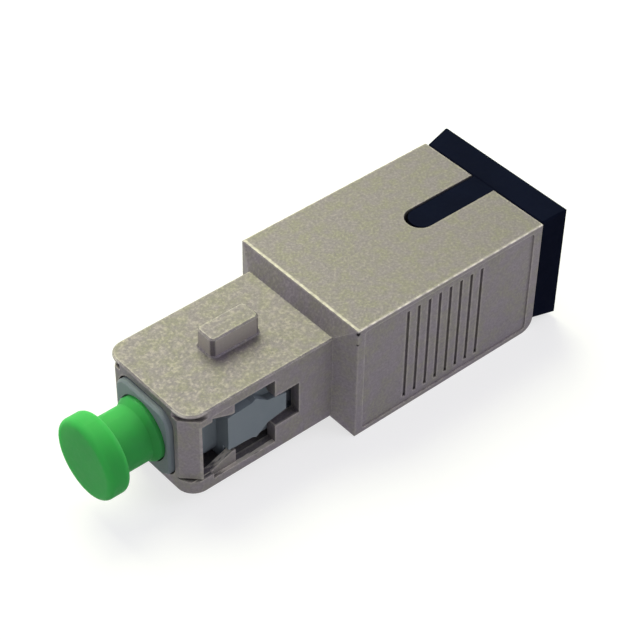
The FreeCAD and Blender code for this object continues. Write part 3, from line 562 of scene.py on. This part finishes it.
    def rubbed(self, tree: bpy.types.NodeTree, surface: Surface) -> Socket:
        """Finds the outer edges that are painted bright, partly as rubbed wear and partly as
        painted highlight, here more and there less.

        Rays that start inward from near an outer edge soon leave the metal, and so tell it
        from an inner corner. Upper faces get more of the rub and painted highlight than the
        sides, and the key's flat sides get a painted highlight too.

        Args:
            tree: Node tree of the material.
            surface: The point of the surface.

        Returns:
            Output socket from 0 to 1.
        """
        inward = add_node(
            tree,
            "AmbientOcclusion",
            {"Distance": self.rub_and_highlight_reach_mm * MM},
            samples=self.reach_rays,
            inside=True,
            only_local=True,
        )
        outer = add_node(tree, "MapRange", self.rub_and_highlight_edge.inputs(inward.outputs["AO"]))
        upper = add_node(tree, "MapRange", self.upper_rub_and_highlight.inputs(surface.faces_up))
        flat_rub_and_highlight = combine(tree, Joining.ALL, [outer.outputs["Result"], upper.outputs["Result"]])
        slanting = add_node(
            tree, "Math", {0: surface.faces_far, 1: surface.faces_up}, operation="MULTIPLY"
        )
        slant = add_node(tree, "Math", {0: slanting.outputs["Value"]}, operation="ABSOLUTE")
        rounded = add_node(tree, "MapRange", self.long_edge_slant.inputs(slant.outputs["Value"]))
        long_rub_and_highlight = combine(
            tree,
            Joining.ALL,
            [rounded.outputs["Result"], *self.long_edges.masks(tree, surface)],
        )
        edges = combine(tree, Joining.ANY, [flat_rub_and_highlight, long_rub_and_highlight, self.front_band(tree, surface)])
        patches = add_node(tree, "TexNoise", self.rub_and_highlight_patches.inputs(surface.place))
        uneven = add_node(tree, "MapRange", self.rub_and_highlight_uneven.inputs(patches.outputs["Fac"]))
        at_slot = combine(tree, Joining.ALL, self.slot.masks(tree, surface))
        off_slot = add_node(tree, "MapRange", self.slot_dull.inputs(at_slot))
        worn_and_highlit = combine(
            tree, Joining.ALL, [edges, uneven.outputs["Result"], off_slot.outputs["Result"]]
        )
        return combine(tree, Joining.ANY, [worn_and_highlit, self.key_flank_highlights(tree, surface)])

    def front_band(self, tree: bpy.types.NodeTree, surface: Surface) -> Socket:
        """Finds the band along the front edge of the body's top, which is painted brightest,
        partly as rubbed wear and partly as painted highlight.

        Args:
            tree: Node tree of the material.
            surface: The point of the surface.

        Returns:
            Output socket from 0 to 1.
        """
        behind = add_node(
            tree, "Math", {0: surface.along, 1: self.front_edge_mm * MM}, operation="SUBTRACT"
        )
        away = add_node(tree, "Math", {0: behind.outputs["Value"]}, operation="ABSOLUTE")
        width = self.front_band_mm * MM
        band = Fade(width, self.front_band_core * width, last=self.front_band_rub_and_highlight)
        near = add_node(tree, "MapRange", band.inputs(away.outputs["Value"]))
        level = add_node(tree, "MapRange", self.top_level.inputs(surface.faces_up))
        return combine(
            tree,
            Joining.ALL,
            [
                near.outputs["Result"],
                level.outputs["Result"],
                *self.body_top.masks(tree, surface),
            ],
        )

    def key_flank_highlights(self, tree: bpy.types.NodeTree, surface: Surface) -> Socket:
        """Finds the key's flat upright faces, which are painted lighter as a painted highlight.

        Args:
            tree: Node tree of the material.
            surface: The point of the surface.

        Returns:
            Output socket from 0 to 1.
        """
        across = add_node(tree, "Math", {0: surface.faces_far}, operation="ABSOLUTE")
        along = add_node(tree, "Math", {0: surface.faces_rear}, operation="ABSOLUTE")
        # Painted highlight: the key's flat upright faces are painted lighter.
        squarest = add_node(
            tree,
            "Math",
            {0: across.outputs["Value"], 1: along.outputs["Value"]},
            operation="MAXIMUM",
        )
        upright = add_node(tree, "MapRange", self.key_flank_highlight.inputs(squarest.outputs["Value"]))
        return combine(
            tree, Joining.ALL, [upright.outputs["Result"], *self.key.masks(tree, surface)]
        )

    def polished(self, tree: bpy.types.NodeTree, surface: Surface) -> Socket:
        """Finds the hook ramps, which face forwards and up, and the sills, and streaks them with
        polish and painted highlight.

        Args:
            tree: Node tree of the material.
            surface: The point of the surface.

        Returns:
            Output socket from 0 to 1.
        """
        stretched = add_node(
            tree, "VectorMath", {0: surface.place, 1: self.streak_stretch}, operation="MULTIPLY"
        )
        streaks = add_node(tree, "TexNoise", self.streaks.inputs(stretched.outputs["Vector"]))
        streaky = add_node(tree, "MapRange", self.streak_shine.inputs(streaks.outputs["Fac"]))
        upward = add_node(tree, "MapRange", self.ramp_up.inputs(surface.faces_up))
        forward = add_node(tree, "MapRange", self.ramp_forward.inputs(surface.faces_rear))
        # Painted highlight with polish: streaks on faces turned up are painted bright.
        worn_and_highlit = [streaky.outputs["Result"], upward.outputs["Result"]]
        on_ramps = [forward.outputs["Result"], *self.ramps.masks(tree, surface)]
        on_sills = self.sills.masks(tree, surface)
        return combine(
            tree,
            Joining.ANY,
            [combine(tree, Joining.ALL, worn_and_highlit + zone) for zone in (on_ramps, on_sills)],
        )

    def shaded_gaps_and_pits(self, tree: bpy.types.NodeTree, surface: Surface) -> Socket:
        """Finds the slits and the casting pits, which are painted dark as painted shade.

        Args:
            tree: Node tree of the material.
            surface: The point of the surface.

        Returns:
            Output socket from 0 to 1.
        """
        # Painted shade: slits are painted dark where little of the open side is free.
        open_side = add_node(
            tree,
            "AmbientOcclusion",
            {"Distance": self.shade_reach_mm * MM},
            samples=self.reach_rays,
        )
        slits = add_node(tree, "MapRange", self.gap_shade.inputs(open_side.outputs["AO"]))
        masks = [slits.outputs["Result"]]
        # Painted shade: each casting pit is painted dark, fully so near its middle.
        for pit in self.pits:
            middle = tuple(length * MM for length in pit.place_mm)
            away = add_node(tree, "VectorMath", {0: surface.place, 1: middle}, operation="DISTANCE")
            hollow = Fade(pit.radius_mm * MM, self.pit_core * pit.radius_mm * MM)
            dark = add_node(tree, "MapRange", hollow.inputs(away.outputs["Value"]))
            masks.append(dark.outputs["Result"])
        return combine(tree, Joining.ANY, masks)

    def paint(self, tree: bpy.types.NodeTree, shader: bpy.types.Node) -> None:
        """Adds the nodes that give the surface its colour, roughness and relief.

        Args:
            tree: Node tree of the material.
            shader: The material's Principled shader.
        """
        surface = Surface.read(tree)
        dimples = add_node(tree, "TexNoise", self.dimples.inputs(surface.place))
        specks = add_node(tree, "TexNoise", self.specks.inputs(surface.place))
        # Painted highlight and wear: edges, the key's flat sides, ramps and sills are painted
        # bright.
        bright = combine(
            tree, Joining.ANY, [self.rubbed(tree, surface), self.polished(tree, surface)]
        )
        worn_and_highlit = add_node(
            tree,
            "Mix",
            {
                MIX_SHARE: bright,
                MIX_FROM: self.plated(tree, surface, dimples.outputs["Fac"], specks.outputs["Fac"]),
                MIX_TO: srgb(self.rubbed_edge),
            },
            data_type="RGBA",
        )
        # Painted shade: slits and casting pits are painted dark.
        darkened = add_node(
            tree,
            "Mix",
            {
                MIX_SHARE: self.shaded_gaps_and_pits(tree, surface),
                MIX_FROM: worn_and_highlit.outputs[MIX_RESULT],
                MIX_TO: srgb(self.painted_shade),
            },
            data_type="RGBA",
        )
        gloss = add_node(tree, "MapRange", self.speck_gloss.inputs(specks.outputs["Fac"]))
        rounded = add_node(tree, "Bevel", {"Radius": self.edge_mm * MM}, samples=self.edge_rays)
        relief = add_node(
            tree,
            "Bump",
            {
                "Strength": self.dimple_relief,
                "Distance": self.dimple_depth_mm * MM,
                "Height": dimples.outputs["Fac"],
                "Normal": rounded.outputs["Normal"],
            },
        )
        feed(
            tree,
            shader,
            {
                "Metallic": 1.0,
                "Base Color": darkened.outputs[MIX_RESULT],
                "Roughness": gloss.outputs["Result"],
                "Normal": relief.outputs["Normal"],
            },
        )


@dataclass(frozen=True)
class MouldedPolymer(Finish):
    """Hard engineering plastic, moulded against a fine spark-eroded steel tool.

    The eye sees an even, slightly waxy colour with soft highlights, faint flow clouds and a
    fine grain that breaks up the shine.
    """

    colour: str
    deep_colour: str
    ior: float = 1.52
    shine: float = 0.1
    light_inside: float = 0.12
    light_reach_mm: float = 0.5
    # Red, green and blue light reach this share of the way.
    light_by_colour: tuple[float, float, float] = (1.0, 1.0, 1.0)
    # Spark erosion leaves pits of about 0.05 mm, drawn at 0.2 mm so that they show.
    grain: Pattern = Pattern(0.2)
    grain_relief: float = 0.2
    grain_depth_mm: float = 0.01
    gloss: Fade = Fade(0.3, 0.7, first=0.38, last=0.55)
    flow: Pattern = Pattern(2.2, detail=3.0, swirl=0.6)

    def paint(self, tree: bpy.types.NodeTree, shader: bpy.types.Node) -> None:
        """Adds the nodes that give the surface its colour, roughness and relief.

        Args:
            tree: Node tree of the material.
            shader: The material's Principled shader.
        """
        place = add_node(tree, "TexCoord").outputs["Object"]
        grain = add_node(tree, "TexNoise", self.grain.inputs(place))
        flow = add_node(tree, "TexNoise", self.flow.inputs(place))
        tone = add_node(
            tree,
            "Mix",
            {
                MIX_SHARE: flow.outputs["Fac"],
                MIX_FROM: srgb(self.deep_colour),
                MIX_TO: srgb(self.colour),
            },
            data_type="RGBA",
        )
        gloss = add_node(tree, "MapRange", self.gloss.inputs(grain.outputs["Fac"]))
        relief = add_node(
            tree,
            "Bump",
            {
                "Strength": self.grain_relief,
                "Distance": self.grain_depth_mm * MM,
                "Height": grain.outputs["Fac"],
            },
        )
        feed(
            tree,
            shader,
            {
                "IOR": self.ior,
                "Specular IOR Level": self.shine,
                "Subsurface Weight": self.light_inside,
                "Subsurface Scale": self.light_reach_mm * MM,
                "Subsurface Radius": self.light_by_colour,
                "Base Color": tone.outputs[MIX_RESULT],
                "Roughness": gloss.outputs["Result"],
                "Normal": relief.outputs["Normal"],
            },
        )


@dataclass(frozen=True)
class PolishedCeramic(Finish):
    """Sintered zirconia, ground and polished to a few nanometres.

    The eye sees a dense, creamy white with a hard clear shine and barely visible grinding
    marks round it.
    """

    label: str = "polished_zirconia"
    colour: str = "#efece4"
    warm_colour: str = "#e6e0d2"
    ior: float = 2.1
    light_inside: float = 0.2
    light_reach_mm: float = 0.4
    # Grinding lines are about 0.01 mm apart, drawn at 0.12 mm so that they show.
    lines: Pattern = Pattern(0.12)
    line_stretch: tuple[float, float, float] = (1.0, 0.06, 0.06)
    gloss: Fade = Fade(first=0.06, last=0.16)

    def paint(self, tree: bpy.types.NodeTree, shader: bpy.types.Node) -> None:
        """Adds the nodes that give the surface its colour, roughness and relief.

        Args:
            tree: Node tree of the material.
            shader: The material's Principled shader.
        """
        place = add_node(tree, "TexCoord").outputs["Object"]
        stretched = add_node(
            tree, "VectorMath", {0: place, 1: self.line_stretch}, operation="MULTIPLY"
        )
        lines = add_node(tree, "TexNoise", self.lines.inputs(stretched.outputs["Vector"]))
        tone = add_node(
            tree,
            "Mix",
            {
                MIX_SHARE: lines.outputs["Fac"],
                MIX_FROM: srgb(self.warm_colour),
                MIX_TO: srgb(self.colour),
            },
            data_type="RGBA",
        )
        gloss = add_node(tree, "MapRange", self.gloss.inputs(lines.outputs["Fac"]))
        feed(
            tree,
            shader,
            {
                "IOR": self.ior,
                "Subsurface Weight": self.light_inside,
                "Subsurface Scale": self.light_reach_mm * MM,
                "Base Color": tone.outputs[MIX_RESULT],
                "Roughness": gloss.outputs["Result"],
            },
        )


@dataclass(frozen=True)
class DrawnMetal(Finish):
    """Metal drawn through a die or turned, left bright with fine lines.

    The eye sees a clear metal shine, broken along one direction by thin lines.
    """

    bright: str
    dull: str
    # Drawing and turning lines are about 0.02 mm apart, drawn at 0.1 mm so that they show.
    lines: Pattern = Pattern(0.1)
    line_stretch: tuple[float, float, float] = (1.0, 0.08, 0.08)
    line_relief: float = 0.15
    line_depth_mm: float = 0.004
    gloss: Fade = Fade(first=0.38, last=0.2)

    def paint(self, tree: bpy.types.NodeTree, shader: bpy.types.Node) -> None:
        """Adds the nodes that give the surface its colour, roughness and relief.

        Args:
            tree: Node tree of the material.
            shader: The material's Principled shader.
        """
        place = add_node(tree, "TexCoord").outputs["Object"]
        stretched = add_node(
            tree, "VectorMath", {0: place, 1: self.line_stretch}, operation="MULTIPLY"
        )
        lines = add_node(tree, "TexNoise", self.lines.inputs(stretched.outputs["Vector"]))
        tone = add_node(
            tree,
            "Mix",
            {
                MIX_SHARE: lines.outputs["Fac"],
                MIX_FROM: srgb(self.dull),
                MIX_TO: srgb(self.bright),
            },
            data_type="RGBA",
        )
        gloss = add_node(tree, "MapRange", self.gloss.inputs(lines.outputs["Fac"]))
        relief = add_node(
            tree,
            "Bump",
            {
                "Strength": self.line_relief,
                "Distance": self.line_depth_mm * MM,
                "Height": lines.outputs["Fac"],
            },
        )
        feed(
            tree,
            shader,
            {
                "Metallic": 1.0,
                "Base Color": tone.outputs[MIX_RESULT],
                "Roughness": gloss.outputs["Result"],
                "Normal": relief.outputs["Normal"],
            },
        )


@dataclass(frozen=True)
class FusedSilica(Finish):
    """Doped fused silica drawn to a fibre and polished flush with the ferrule.

    The eye sees a tiny clear dot with a faint blue cast.
    """

    label: str = "doped_fused_silica"
    colour: str = "#dfe9f2"
    tint: str = "#c9dcee"
    ior: float = 1.46
    clearness: float = 0.8
    streaks: Pattern = Pattern(0.4, detail=1.0)
    gloss: Fade = Fade(first=0.03, last=0.1)

    def paint(self, tree: bpy.types.NodeTree, shader: bpy.types.Node) -> None:
        """Adds the nodes that give the surface its colour and roughness.

        Args:
            tree: Node tree of the material.
            shader: The material's Principled shader.
        """
        place = add_node(tree, "TexCoord").outputs["Object"]
        streaks = add_node(tree, "TexNoise", self.streaks.inputs(place))
        tone = add_node(
            tree,
            "Mix",
            {
                MIX_SHARE: streaks.outputs["Fac"],
                MIX_FROM: srgb(self.tint),
                MIX_TO: srgb(self.colour),
            },
            data_type="RGBA",
        )
        gloss = add_node(tree, "MapRange", self.gloss.inputs(streaks.outputs["Fac"]))
        feed(
            tree,
            shader,
            {
                "IOR": self.ior,
                "Transmission Weight": self.clearness,
                "Base Color": tone.outputs[MIX_RESULT],
                "Roughness": gloss.outputs["Result"],
            },
        )


@dataclass(frozen=True)
class SoftPolyethylene(Finish):
    """Soft, unfilled polyethylene, injection moulded into a push-on cap.

    The eye sees a colour lit partly from within, a waxy broad shine, slightly deeper colour
    in soft clouds, and faint ripples.
    """

    colour: str
    deep_colour: str
    light_inside: float
    light_reach_mm: float
    # Red, green and blue light reach this share of the way.
    light_by_colour: tuple[float, float, float] = (0.5, 1.0, 0.5)
    ior: float = 1.51
    shine: float = 0.06
    clouds: Pattern = Pattern(3.2, detail=3.0)
    cloud_depth: Fade = Fade(0.3, 0.7)
    # The waxy skin has ripples of about 0.3 mm.
    ripples: Pattern = Pattern(0.35)
    ripple_relief: float = 0.15
    ripple_depth_mm: float = 0.02
    gloss: Fade = Fade(0.3, 0.7, first=0.5, last=0.62)

    def paint(self, tree: bpy.types.NodeTree, shader: bpy.types.Node) -> None:
        """Adds the nodes that give the surface its colour, roughness and relief.

        Args:
            tree: Node tree of the material.
            shader: The material's Principled shader.
        """
        place = add_node(tree, "TexCoord").outputs["Object"]
        clouds = add_node(tree, "TexNoise", self.clouds.inputs(place))
        ripples = add_node(tree, "TexNoise", self.ripples.inputs(place))
        depth = add_node(tree, "MapRange", self.cloud_depth.inputs(clouds.outputs["Fac"]))
        tone = add_node(
            tree,
            "Mix",
            {
                MIX_SHARE: depth.outputs["Result"],
                MIX_FROM: srgb(self.deep_colour),
                MIX_TO: srgb(self.colour),
            },
            data_type="RGBA",
        )
        gloss = add_node(tree, "MapRange", self.gloss.inputs(ripples.outputs["Fac"]))
        relief = add_node(
            tree,
            "Bump",
            {
                "Strength": self.ripple_relief,
                "Distance": self.ripple_depth_mm * MM,
                "Height": ripples.outputs["Fac"],
            },
        )
        feed(
            tree,
            shader,
            {
                "IOR": self.ior,
                "Specular IOR Level": self.shine,
                "Subsurface Weight": self.light_inside,
                "Subsurface Scale": self.light_reach_mm * MM,
                "Subsurface Radius": self.light_by_colour,
                "Base Color": tone.outputs[MIX_RESULT],
                "Roughness": gloss.outputs["Result"],
                "Normal": relief.outputs["Normal"],
            },
        )


@dataclass
class SubAssembly(ABC):
    """A group of the part's pieces that are dressed together."""

    nodes: Mapping[str, bpy.types.Object]

    @abstractmethod
    def finishes(self) -> Mapping[str, Finish]:
        """Gives the finish of each piece by the piece's name."""

    def dress(self) -> None:
        """Puts each piece's finish on it and reports the piece."""
        for piece, finish in self.finishes().items():
            mesh = self.nodes[piece].data
            mesh.materials.clear()
            mesh.materials.append(finish.make())
            low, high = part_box(piece)
            size = ", ".join(f"{(high[a.value] - low[a.value]) / MM:.1f}" for a in Axis)
            LOG.info("%s: %s, %s mm", piece, finish.label, size)


@dataclass
class SteppedShell(SubAssembly):
    """Metal shell with the plug section in front, and the socket liner at its rear."""

    def finishes(self) -> Mapping[str, Finish]:
        """Chooses the finish of each piece.

        Returns:
            The finishes by the names of the pieces.
        """
        return {
            "outer_shell": BlastedNickelCasting(),
            "socket_insert": MouldedPolymer(
                label="moulded_black_polybutylene",
                colour="#0f1220",
                deep_colour="#0b0e1a",
                light_inside=0.0,
            ),
        }


@dataclass
class SpringCore(SubAssembly):
    """Plug frame, sleeve seat, latch holder and split sleeve, which slide in the shell."""

    def finishes(self) -> Mapping[str, Finish]:
        """Chooses the finish of each piece.

        Returns:
            The finishes by the names of the pieces.
        """
        return {
            "plug_frame": MouldedPolymer(
                label="moulded_grey_polybutylene",
                colour="#868f96",
                deep_colour="#7e888f",
                light_inside=0.25,
            ),
            "sleeve_seat": MouldedPolymer(
                label="moulded_light_grey_polyetherimide",
                colour="#9a9c9e",
                deep_colour="#8c8f92",
            ),
            "latch_holder": MouldedPolymer(
                label="moulded_grey_polyetherimide",
                colour="#8f9294",
                deep_colour="#83878a",
            ),
            "split_sleeve": PolishedCeramic(),
        }


@dataclass
class FloatingFerrule(SubAssembly):
    """Ferrule with its doped fibre, metal collar and spring, which floats back float_m; float_m is
    not used.
    """

    float_m: float
    spring_slot: str = "spring_steel"

    def finishes(self) -> Mapping[str, Finish]:
        """Chooses the finish of each piece.

        Returns:
            The finishes by the names of the pieces.
        """
        return {
            "ferrule": PolishedCeramic(),
            "doped_fibre": FusedSilica(),
            "ferrule_collar": DrawnMetal(
                label="turned_nickel_plated_brass", bright="#cfcabd", dull="#b8b3a6"
            ),
            "spring": DrawnMetal(label="drawn_spring_steel", bright="#c4c6c8", dull="#a4a7aa"),
        }

    def dress(self) -> None:
        """Dresses the pieces, then puts a copy of the spring, which moves with the ferrule, in the
        rigid one's place.
        """
        super().dress()
        self.wind_spring()

    def wind_spring(self) -> None:
        """Makes a copy of the spring that moves with the ferrule, and hides the rigid one.
        """
        rigid = self.nodes["spring"]
        coil = bpy.data.objects.new("coil_spring", rigid.data.copy())
        bpy.context.scene.collection.objects.link(coil)
        coil.matrix_world = rigid.matrix_world
        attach(coil, "ferrule")
        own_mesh(coil)
        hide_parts("spring")


@dataclass
class PlugCap(SubAssembly):
    """Green push-on cap over the ferrule."""

    def finishes(self) -> Mapping[str, Finish]:
        """Chooses the finish of each piece.

        Returns:
            The finishes by the names of the pieces.
        """
        return {
            "plug_cap": SoftPolyethylene(
                label="soft_green_polyethylene",
                colour="#43a856",
                deep_colour="#3ea052",
                light_inside=1.0,
                light_reach_mm=3.0,
            )
        }


@dataclass
class SocketCap(SubAssembly):
    """Dark blue stopper in the socket, with its flange over the shell's rear."""

    def finishes(self) -> Mapping[str, Finish]:
        """Chooses the finish of each piece.

        Returns:
            The finishes by the names of the pieces.
        """
        return {
            "socket_cap": SoftPolyethylene(
                label="navy_blue_polyethylene",
                colour="#0d1224",
                deep_colour="#0a0e1e",
                light_inside=0.05,
                light_reach_mm=0.3,
                shine=0.03,
                gloss=Fade(0.3, 0.7, first=0.8, last=0.9),
            )
        }


@dataclass(frozen=True)
class PhotoCamera:
    """Camera that stands where the photographer's stood."""

    place_mm: tuple[float, float, float] = (-66.05, -76.5, 99.3)
    azimuth: float = -41.37
    elevation: float = 42.594
    roll: float = 1.07
    lens_mm: float = 110.98
    sensor_mm: float = 36.0
    nearest_m: float = 0.005
    farthest_m: float = 20.0

    def build(self) -> None:
        """Makes the camera and gives it to the scene."""
        data = bpy.data.cameras.new("photo_camera")
        data.lens = self.lens_mm
        data.sensor_width = self.sensor_mm
        data.clip_start = self.nearest_m
        data.clip_end = self.farthest_m
        camera = bpy.data.objects.new("photo_camera", data)
        bpy.context.scene.collection.objects.link(camera)
        back = toward(self.azimuth, self.elevation)
        level = Vector((0.0, 0.0, 1.0)).cross(back).normalized()
        upright = back.cross(level)
        axes = Matrix((level, upright, back)).transposed().to_4x4()
        rolled = axes @ Matrix.Rotation(math.radians(self.roll), 4, "Z")
        camera.matrix_world = Matrix.Translation(Vector(self.place_mm) * MM) @ rolled
        bpy.context.scene.camera = camera
        LOG.info("camera: %.1f mm lens", self.lens_mm)


@dataclass(frozen=True)
class SoftLamp:
    """Rectangular softbox that points at the part."""

    name: str
    azimuth: float
    elevation: float
    distance_mm: float
    wide_mm: float
    tall_mm: float
    watts: float
    colour: str

    def build(self) -> None:
        """Makes the lamp."""
        data = bpy.data.lights.new(self.name, "AREA")
        data.shape = "RECTANGLE"
        data.size = self.wide_mm * MM
        data.size_y = self.tall_mm * MM
        data.energy = self.watts
        data.color = srgb(self.colour)[:3]
        lamp = bpy.data.objects.new(self.name, data)
        bpy.context.scene.collection.objects.link(lamp)
        back = toward(self.azimuth, self.elevation)
        lamp.location = back * self.distance_mm * MM
        lamp.rotation_mode = "QUATERNION"
        lamp.rotation_quaternion = back.to_track_quat("Z", "Y")
        LOG.info("lamp: %s", self.name)


@dataclass(frozen=True)
class WhiteTable(Finish):
    """Matt white table top, which shows as plain white and keeps the part's soft shadow."""

    label: str = "matt_white_table"
    colour: str = "#aaaaaa"
    roughness: float = 0.9
    shine: float = 0.0
    glow: float = 0.66
    glow_colour: str = "#ffffff"

    def paint(self, tree: bpy.types.NodeTree, shader: bpy.types.Node) -> None:
        """Lets the table glow where it is looked at or mirrored, not as soft light.

        Args:
            tree: Node tree of the material.
            shader: The material's Principled shader.
        """
        path = add_node(tree, "LightPath")
        rays = ("Is Camera Ray", "Is Glossy Ray", "Is Transmission Ray")
        seen = combine(tree, Joining.ANY, [path.outputs[ray] for ray in rays])
        glow = add_node(tree, "Math", {0: seen, 1: self.glow}, operation="MULTIPLY")
        feed(
            tree,
            shader,
            {
                "Roughness": self.roughness,
                "Specular IOR Level": self.shine,
                "Base Color": srgb(self.colour),
                "Emission Color": srgb(self.glow_colour),
                "Emission Strength": glow.outputs["Value"],
            },
        )


@dataclass(frozen=True)
class Studio:
    """White table, soft lamps and a plain pale room."""

    table_m: float = 6.0
    table_drop_mm: float = 0.01
    room: str = "#f0eff6"
    room_strength: float = 0.4
    lamps: tuple[SoftLamp, ...] = (
        SoftLamp(
            name="overhead_softbox",
            azimuth=166.0,
            elevation=56.0,
            distance_mm=180.0,
            wide_mm=130.0,
            tall_mm=130.0,
            watts=0.365,
            colour="#f9ffd7",
        ),
        SoftLamp(
            name="front_fill",
            azimuth=41.0,
            elevation=38.0,
            distance_mm=420.0,
            wide_mm=200.0,
            tall_mm=200.0,
            watts=0.34,
            colour="#f4f2ff",
        ),
        SoftLamp(
            name="left_fill",
            azimuth=-115.0,
            elevation=20.0,
            distance_mm=420.0,
            wide_mm=260.0,
            tall_mm=260.0,
            watts=0.34,
            colour="#fbf8ff",
        ),
        SoftLamp(
            name="near_fill",
            azimuth=-25.0,
            elevation=18.0,
            distance_mm=420.0,
            wide_mm=260.0,
            tall_mm=160.0,
            watts=0.12,
            colour="#f6f2ff",
        ),
    )

    def build_table(self) -> None:
        """Lays the table under the part."""
        half = self.table_m / 2
        mesh = bpy.data.meshes.new("table")
        corners = [(-half, -half), (half, -half), (half, half), (-half, half)]
        mesh.from_pydata([(x, y, -self.table_drop_mm * MM) for x, y in corners], [], [(0, 1, 2, 3)])
        mesh.materials.append(WhiteTable().make())
        table = bpy.data.objects.new("table", mesh)
        bpy.context.scene.collection.objects.link(table)
        LOG.info("table: %.1f m", self.table_m)

    def build_room(self) -> None:
        """Fills the room with even light."""
        world = bpy.data.worlds.new("studio_room")
        world.use_nodes = True
        background = world.node_tree.nodes["Background"]
        light = {"Color": srgb(self.room), "Strength": self.room_strength}
        feed(world.node_tree, background, light)
        bpy.context.scene.world = world
        LOG.info("room: %s", self.room)

    def build(self) -> None:
        """Builds the table, the room and every lamp."""
        self.build_table()
        self.build_room()
        for lamp in self.lamps:
            lamp.build()


def main() -> None:
    """Dresses the part and builds the studio round it."""
    logging.basicConfig(level=logging.INFO, format="%(message)s")
    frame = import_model()
    bpy.context.scene.view_settings.view_transform = "Standard"
    PhotoCamera().build()
    Studio().build()
    floating = next(joint for joint in frame["joints"] if joint["name"] == "ferrule_float")
    groups: list[SubAssembly] = [
        SteppedShell(frame["nodes"]),
        SpringCore(frame["nodes"]),
        FloatingFerrule(frame["nodes"], max(floating["range_m"])),
        PlugCap(frame["nodes"]),
        SocketCap(frame["nodes"]),
    ]
    for group in groups:
        group.dress()


if __name__ == "__main__":
    main()
